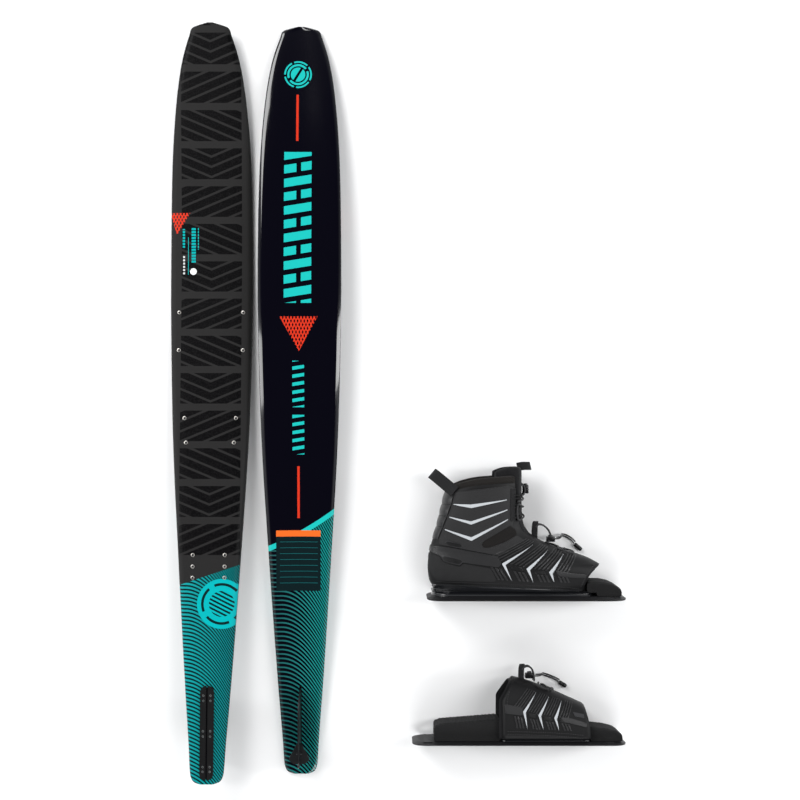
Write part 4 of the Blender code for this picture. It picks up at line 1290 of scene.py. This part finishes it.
CUFF_PANEL = (
    (53.5, 205, 3), (104, 211.5, 20), (157, 217.5, 5), (165, 213, 5), (166, 184, 10), (163, 141, 4),
    (157.5, 142, 4), (134, 128, 10), (109, 113, 5), (103.5, 106.5, 4), (107.5, 99, 4), (120, 100, 6),
    (150, 111, 10), (171, 123, 4),
    (184, 114, 4), (160, 99, 8), (134.5, 85, 3), (69, 97, 6), (40, 102, 6), (24, 105, 3), (24, 114, 3),
    (33, 139, 10), (41, 160, 10), (48.5, 181, 10),
)
HEEL_BAND = (
    (5, 101.5), (36, 100.5), (68, 95.5), (134, 83), (141.5, 70), (136, 63), (66, 71.5), (62.5, 66),
    (40, 70.5),
    (31, 75.5), (26.5, 82.5), (4, 91),
)
HEEL_PANEL = (
    (4, 87), (26, 80.5), (29.5, 72.5), (39, 67.5), (63.5, 62), (68.5, 68.5), (121, 60.5), (132.5, 39),
    (127, 35.5),
    (20, 35.5), (9, 48), (4, 66),
)
TOE_BAND = ((243, 57.5), (272, 52), (302, 48.5), (302, 42.5), (275, 43.5), (250, 46.5))
TAGS = (
    ((35.5, 109), (39, 112.5), (64.5, 106.5), (68.5, 102), (65, 98.2), (41.5, 103.5)),
    ((29.5, 82), (33, 84.5), (66, 76.5), (69.5, 72), (63, 65.8), (41, 70.5), (32.5, 73.5)),
)
CUFF_CHEVRONS = (
    ((51.5, 182.6), (83.5, 182.2), (150.7, 191.4), (150.7, 190.2), (84, 175.6), (51.5, 181.2)),
    ((43.8, 158.4), (83.5, 150.2), (152, 172.6), (152, 171), (84, 144.2), (43.8, 156.8)),
    ((35.3, 134.6), (84.5, 119.6), (153, 154.2), (153, 152.6), (84.8, 112.8), (35.3, 132.8)),
)
ANKLE_MESH = (
    (158, 141.5), (109, 112.5), (104, 106.5), (108, 99.5), (120, 100.5), (150, 111.5), (171, 123.5),
    (170, 133),
)


def boot_panels(binding):
    """The fabric panels, bands and blank tags of the boot's sides."""
    binding.panel("cuff_panel", [CUFF_PANEL], 1.1, "fabric", bend=True, cell=4.0, corner=3)
    binding.panel("cuff_chevrons", CUFF_CHEVRONS, 1.7, "chevron", bend=True, lift=0.9, edge=0.0, corner=0.3)
    binding.panel("heel_band", [HEEL_BAND], 1.6, "rubber", corner=4, edge=0.7)
    binding.panel("heel_panel", [HEEL_PANEL], 0.9, "heel_fabric", corner=4)
    binding.panel("tag_rims", TAGS, 2.0, "outline", lift=0.8, corner=1.2, bend=True)
    faces = []
    for tag in TAGS:
        cx, cz = (sum(corner[k] for corner in tag) / len(tag) for k in (0, 1))
        faces.append([(cx + (x - cx) * 0.93, cz + (z - cz) * 0.82) for x, z in tag])
    binding.panel("tag_faces", faces, 2.3, "rubber_dark", lift=1.0, corner=1.0, bend=True)
    binding.panel("toe_band", [TOE_BAND], 1.7, "rubber", corner=2.5, edge=0.7)
    binding.panel("ankle_mesh", [ANKLE_MESH], 0.35, "flex_mesh", "mesh_fabric", bend=True, corner=5)


def moulded_ribs(binding, top, width):
    """The ribs between the chevrons: thin ones on the upper arms, bars and a block on the lower arms."""
    ribs, bars, blocks = [], [], []
    for number in range(-1, 3):
        for start in (number + 0.27 + 0.17 * k for k in range(4)):
            ribs.append(binding.strip(start, start + 0.075, 0.06, top))
        for start in (number + 0.34 + 0.19 * k for k in range(3)):
            bars.append(binding.strip(start, start + 0.11, -0.98, -0.34))
        blocks.append(binding.strip(number + 0.32, number + 0.8, -0.26, 0.02))
    marks = [binding.chevron(number, width, min(top - 0.06, 1)) for number in range(3)]
    binding.panel("upper_ribs", ribs, 1.3, "rubber", corner=0.8, cell=6, edge=0.5)
    binding.panel("lower_bars", bars, 1.2, "rubber", corner=0.8, cell=6, edge=0.5)
    binding.panel("rib_blocks", blocks, 1.5, "rubber_dark", corner=1.5, cell=6, edge=0.6)
    binding.panel("side_chevrons", marks, 1.5, "chevron", corner=0.3, lift=0.2, edge=0.0)


def boot_stitching(binding):
    """Thread rows inside the cuff panel's edge, along the sole and round the toe opening."""
    inset = [(x + (2.4 if x < 60 else -2.4 if x > 150 else 0), z - 2.6 if z > 200 else z)
             for x, z, _ in CUFF_PANEL]
    top = [*inset[:5], (161, 144)]
    back = [inset[0], *reversed(inset[19:])]
    front = [(155, 145), (131, 131), (106, 116), (100.5, 107), (105, 96), (121, 97), (151, 108), (172, 120)]
    binding.stitching("panel_stitches", [top, back, front], bend=True, lift=1.0)
    sole = [(18, 33), (60, 32.5), (150, 31.5), (240, 27), (270, 24), (292, 20.5)]
    rows = [[(x, z + up) for x, z in sole] for up in (0, -5)]
    mouth = [(292, 24), (302, 45), (314, 61), (322, 68)]
    binding.stitching("sole_stitches", [*rows, mouth], pitch=4.0, size=(2.7, 1.4, 0.9))


def chassis_flare(binding):
    """The glossy side of the chassis, which rises over the upper's lower edge towards the heel."""
    outline = [(12, 17), (11, 22), (12, 27), (60, 26.8), (110, 26), (180, 24), (240, 21), (292, 18.2),
               (292, 17)]
    binding.panel("chassis_flare", [outline], 1.4, "rail", "plate_black", corner=0.6, edge=0.5, cell=4)


def boot(binding):
    boot_shell()
    boot_liner()
    chassis_flare(binding)
    boot_cuff()
    heel_spine()
    boot_panels(binding)
    moulded_ribs(binding, 1.12, 6.8)
    boot_stitching(binding)
    boot_fittings()


# The parts that both bindings share

def sole_plate(name, length, half_width, radius, thickness, slot_ends, slot_reach, place, body, node):
    """The moulded plate: a rounded outline with a thinner flange, and four slots for its screws."""
    levels = ((1.4, 0.0), (0.3, 0.5), (0, 1.2), (0, thickness * 0.42), (1.0, thickness * 0.5),
              (5.0, thickness * 0.62), (9.0, thickness * 0.95), (10.0, thickness))
    rings = block_rings(0, length, half_width, radius, levels)
    obj = put_rings(name, rings, place, "nylon", body, [node], 30)
    cutters = bmesh.new()
    half_x, half_y = SCREW_SLOT[0] / 2, SCREW_SLOT[1] / 2
    for x in slot_ends:
        for y in (-slot_reach, slot_reach):
            corners = [(x + u * half_x, y + v * half_y) for u, v in ((-1, -1), (1, -1), (1, 1), (-1, 1))]
            prism_mesh(cutters, rounded_outline(corners, half_x, 5), -3, thickness + 3)
    carve(obj, cutters, place)


def carve(obj, cutters, place):
    """Cuts the shapes out of a piece for good."""
    mesh = mesh_of("cutter", cutters)
    mesh.transform(place)
    cutter = add_object("cutter", mesh)
    boolean = obj.modifiers.new("carve", "BOOLEAN")
    boolean.object = cutter
    boolean.solver = "EXACT"
    bpy.context.view_layer.update()
    graph = bpy.context.evaluated_depsgraph_get()
    carved = bpy.data.meshes.new_from_object(obj.evaluated_get(graph))
    obj.modifiers.remove(boolean)
    obj.data = carved
    carved.shade_smooth()
    carved.set_sharp_from_angle(angle=math.radians(30))
    bpy.data.objects.remove(cutter, do_unlink=True)


def moulded_rail(name, start, length, half_width, radius, low, high, place, body, node, waist):
    """The glossy chassis between plate and upper: its sides are hollowed like a channel."""
    levels = []
    for row in range(11):
        share = row / 10
        inset = waist * math.sin(math.pi * share) + 0.6 * (row in (0, 10))
        levels.append((inset, low + (high - low) * share))
    rings = block_rings(start, length, half_width, radius, levels)
    put_rings(name, rings, place, "rail", body, [node], 40)


def foam_block(name, side_outline, half, place, body, node, dome=1.5, grooves=None):
    """An EVA pad: its side view swept across with rounded flanks, and moulded grooves over its top."""
    count = 20
    dense = rounded_outline(side_outline, 3.0, 3)
    points = []
    for a, b in zip(dense, dense[1:] + dense[:1]):
        steps = max(1, int((Vector(b) - Vector(a)).length / 2.0))
        points += [tuple(Vector(a).lerp(Vector(b), k / steps)) for k in range(steps)]
    low = min(z for _, z in points)
    high = max(z for _, z in points)
    rings = []
    for row in range(count + 1):
        across = -1 + 2 * row / count
        flank = max(0.0, (abs(across) - 0.86) / 0.14)
        ring = []
        for x, z in points:
            top = (z - low) / (high - low)
            depth = grooves(x) if grooves and top > 0.35 else 0.0
            rounding = 2.6 * (1 - math.sqrt(max(0.0, 1 - flank**2))) if top > 0.3 else 0.0
            ring.append((x, across * half, z - depth - rounding + dome * (1 - across**2) * max(0, top - 0.5)))
        rings.append(ring)
    obj = put_rings(name, rings, place, "foam", body, [node], 50)


def cross_grooves(pitch, depth, share):
    """Grooves across a pad, one pitch apart."""
    return lambda x: depth if (x / pitch) % 1 < share else 0.0


def lace_lock(prefix, x, z, length, drop, place, body):
    """The spring lock: a ribbed housing with a round socket, and the push button on top."""
    levels = [(1.0, -drop), (0.2, 0.8 - drop)]
    for k, share in enumerate((0.25, 0.31, 0.37, 0.55, 0.61, 0.67)):
        levels.append((0.8 if k % 3 == 1 else 0.0, share * (5 + drop) - drop))
    levels += [(0.2, 4.2), (1.0, 5)]
    rings = block_rings(x - length / 2, length, 7, 3, [(inset, z + up) for inset, up in levels], 5)
    housing = put_rings(f"{prefix}_lock_housing", rings, place, "plastic", body,
                        [f"{prefix}_lock"], 30)
    cutter = bmesh.new()
    prism_mesh(cutter, circle(x, 0, 4.7), z - 3.6, z + 9)
    carve(housing, cutter, place)
    bm = bmesh.new()
    lathe(bm, ((4.0, 0), (4.2, 0.4), (4.2, 7.0), (3.9, 7.8), (3.0, 8.0), (2.6, 7.6), (0.2, 7.5)), (x, 0, z))
    put_piece(f"{prefix}_lock_push_button", bm, place, ["plastic"], f"{prefix}_lock_button",
              [f"{prefix}_lock_button"], 30)


def crossed_route(rows, reach, skin):
    """A lace that crosses the skin from side to side: each row runs from one edge to the other."""
    route = []
    for k, (start, end) in enumerate(rows):
        side = 1 if k % 2 else -1
        for share in LACE_SHARES:
            route.append(skin((start + end) / 2 - share * (end - start) / 2, -share * side * reach))
    return route


def lacing(name, crossing, rise, size, place, body, node):
    """A lace: its crossings, then both cords up over the lock and into it."""
    diameter = LACE * size
    routes = [smooth_route(route, diameter * TUBE_STEP)
              for route in (crossing, rise, [(x, -y, z) for x, y, z in rise])]
    lace_curve(name, routes, diameter, place, body, node)


def webbing_loop(name, half, width, thickness, place, body, node, across):
    """A folded loop of webbing, from half of its route; the other half mirrors it."""
    route = [*half, *((x, -y, z) for x, y, z in reversed(half[:-1]))]
    bm = bmesh.new()
    band_mesh(bm, smooth_route(route, 2.5), across, width, thickness)
    put_piece(name, bm, place, ["webbing"], body, [node], 40)


def boot_footbed():
    turns = [math.tau * k / 90 for k in range(90)]
    rings = []
    for inset, z in ((5.8, 16.6), (5.8, 24.6), (6.8, 26.0), (9.0, 26.4)):
        ring = [boot_point(turn, z, -inset) for turn in turns]
        rings.append([Vector((min(p.x, 303), p.y, p.z)) for p in ring])
    bed = put_rings("boot_footbed_foam", rings, BOOT, "foam", "boot", ["boot_footbed"], 40)


def boot_lacing():
    upper = crossed_route(((197, 187), (180, 170), (163, 153)), 0.66,
                          lambda z, turn: boot_point(turn, z, LACE_LIFT + 0.6))
    lacing("boot_cuff_lacing", upper, CUFF_RISE, 1.35, BOOT, "boot_cuff", "boot_upper_lace")
    lower = crossed_route(((103, 97.5), (97.5, 92.5), (92.5, 88)), 0.42,
                          lambda z, turn: boot_point(turn, z, INSTEP_LACE_LIFT - 0.6))
    lacing("boot_foot_lacing", lower, FOOT_RISE, 1.25, BOOT, "boot", "boot_lower_lace")
    lace_lock("boot_upper", 191.6, 212, 12, 11, BOOT, "boot_cuff")
    lace_lock("boot_lower", 240, 112.5, 17, 5, BOOT, "boot")


def boot_fittings():
    sole_plate("boot_sole_plate", 380, 57, 34, 7, (34, 350), 46, BOOT, "boot", "boot_plate")
    moulded_rail("boot_rail", 8, 314, 41.5, 36, 7.35, 16.2, BOOT, "boot", "boot_chassis_rail", 2.6)
    pad = ((305, 16.5), (323, 16.5), (324, 7.4), (371, 7.4), (371, 18), (366, 24), (354, 30), (338, 33.5),
           (314, 34), (305, 33.5))
    foam_block("boot_toe_foam", pad, 36, BOOT, "boot", "boot_toe_pad", dome=0.4)
    boot_footbed()
    for word, half, width, thickness, body, across in (
        ("heel", HEEL_LOOP, 23, 2.4, "boot_cuff", HEEL_LOOP_LEAN),
        ("tongue", TONGUE_LOOP, 16, 2.0, "boot_cuff", (-0.2, 0, 1)),
        ("instep", INSTEP_LOOP, 10, 1.8, "boot", (1, 0, 0)),
    ):
        webbing_loop(f"boot_{word}_pull", half, width, thickness, BOOT, body, f"boot_{word}_loop", across)
    for side, word in ((-1, "left"), (1, "right")):
        lace_stay(side, word)
    boot_lacing()


def lace_stay(side, word):
    """The webbing strip along the cuff's front edge, with the loops that the lace runs through."""
    turn = side * 0.84
    stay = [boot_point(turn, z, 1.6) for z in (150, 158, 165, 172, 180, 188, 195, 203, 212)]
    outward = boot_point(turn + side * 0.1, 180) - boot_point(turn, 180)
    bm = bmesh.new()
    band_mesh(bm, stay, outward, 11, 2)
    for z in (160, 178, 196):
        base, front = boot_point(side * 0.8, z, 2.4), boot_point(side * 0.62, z, 3.4)
        fold = [front + Vector(shift) for shift in ((1, 0, 2.4), (2.2, 0, 0), (1, 0, -2.4))]
        route = [base + Vector((0, 0, 3)), *fold, base - Vector((0, 0, 3))]
        band_mesh(bm, smooth_route(route, 1.5), (0.3, side, 0), 4.5, 1.2)
    put_piece(f"boot_eyelet_stay_{word}", bm, BOOT, ["webbing"], "boot_cuff",
              [f"boot_lace_stay_{word}"], 40)


# The rear toe plate

def toe_upper():
    """The arched upper and the thin sleeve inside it."""
    for name, lift, thickness, finish, slot, node, (rear, front) in (
        ("toe_upper_skin", 0.0, 3.6, "skin", "upper_black", "toe_upper", (0, 1)),
        ("toe_inner_sleeve", -4.6, 2.2, "lining", "mesh_fabric", "toe_sleeve", (-0.04, 0.985)),
    ):
        bm = bmesh.new()
        places = [rear + (front - rear) * step / 24 for step in range(25)]
        sheet_mesh(bm, [[toe_point(along, math.pi * k / 80, lift) for along in places] for k in range(81)])
        obj = put_piece(name, bm, TOE, [finish], "toe_plate", [node], 40)
        middle = obj.data.polygons[len(obj.data.polygons) // 2]
        outward = middle.normal.dot(middle.center - TOE @ Vector((255, 0, 12))) > 0
        thicken(obj, thickness * GRADE, -1.0 if outward else 1.0)


def toe_panels(binding):
    band = ((176, 77), (207, 71), (211, 62.5), (210, 56), (177, 59.5))
    front = ((281, 53), (301, 50.5), (331, 42), (331, 34), (300, 41.5), (288, 44))
    tag = ((306, 61.5), (327, 57), (327, 50.5), (309, 54))
    binding.panel("side_bands", [band, front], 1.7, "rubber", corner=2.5, edge=0.7)
    binding.panel("blank_tag", [tag], 1.0, "outline", corner=1.2)
    rows = [[(180, 27 + up), (250, 25 + up), (300, 22 + up), (328, 19 + up)] for up in (0, -5.5)]
    rear = [(186, 100), (181, 84), (181, 72)]
    binding.stitching("sole_stitches", [*rows, rear], pitch=4.4, size=(3.1, 1.7, 1.0))


def toe_fittings():
    sole_plate("toe_sole_plate", 408, 54, 30, 5.4, (30, 378), 44, TOE, "toe_plate", "toe_plate")
    moulded_rail("toe_rail", 169, 170, 46, 10, 5.75, 12.0, TOE, "toe_plate", "toe_chassis_rail", 1.2)
    heel = ((42, 5.8), (168, 5.8), (168, 46), (160, 46.6), (52, 38), (42, 33))
    foam_block("toe_heel_foam", heel, 36, TOE, "toe_plate", "toe_heel_pad",
               grooves=cross_grooves(7.0, 0.9, 0.35))
    bed = ((169, 12.2), (334, 12.2), (334, 20), (169, 22))
    foam_block("toe_footbed_foam", bed, 38, TOE, "toe_plate", "toe_footbed")
    front = ((340, 5.8), (401, 5.8), (401, 18), (392, 24), (372, 29), (340, 32))
    foam_block("toe_front_foam", front, 37, TOE, "toe_plate", "toe_front_pad",
               grooves=cross_grooves(6.5, 0.5, 0.2))
    crossing = crossed_route(((0.4, 0.46), (0.5, 0.56), (0.6, 0.66)), 0.3,
                             lambda along, turn: toe_point(along, math.pi / 2 + turn, LACE_LIFT - 0.6))
    lacing("toe_lacing", crossing, TOE_RISE, 1.25, TOE, "toe_plate", "toe_lace")
    lace_lock("toe", 228, 124.5, 17, 5, TOE, "toe_plate")
    webbing_loop("toe_pull", TOE_LOOP, 10, 1.8, TOE, "toe_plate", "toe_pull_loop", (1, 0, 0))


def toe_binding(binding):
    toe_upper()
    moulded_ribs(binding, 0.96, 5.2)
    toe_panels(binding)
    toe_fittings()


camera()
lace_tails("boot", BOOT, BOOT_TAIL, BOOT_BARREL, "boot")
lace_tails("toe", TOE, TOE_TAIL, TOE_BARREL, "toe_plate")
studio()
ski("ski_a", SKI_A)
ski("ski_b", SKI_B)
boot(Binding("boot", BOOT, boot_side, BOOT_CHEVRONS, "boot"))
toe_binding(Binding("toe", TOE, toe_side, TOE_CHEVRONS, "toe_plate"))
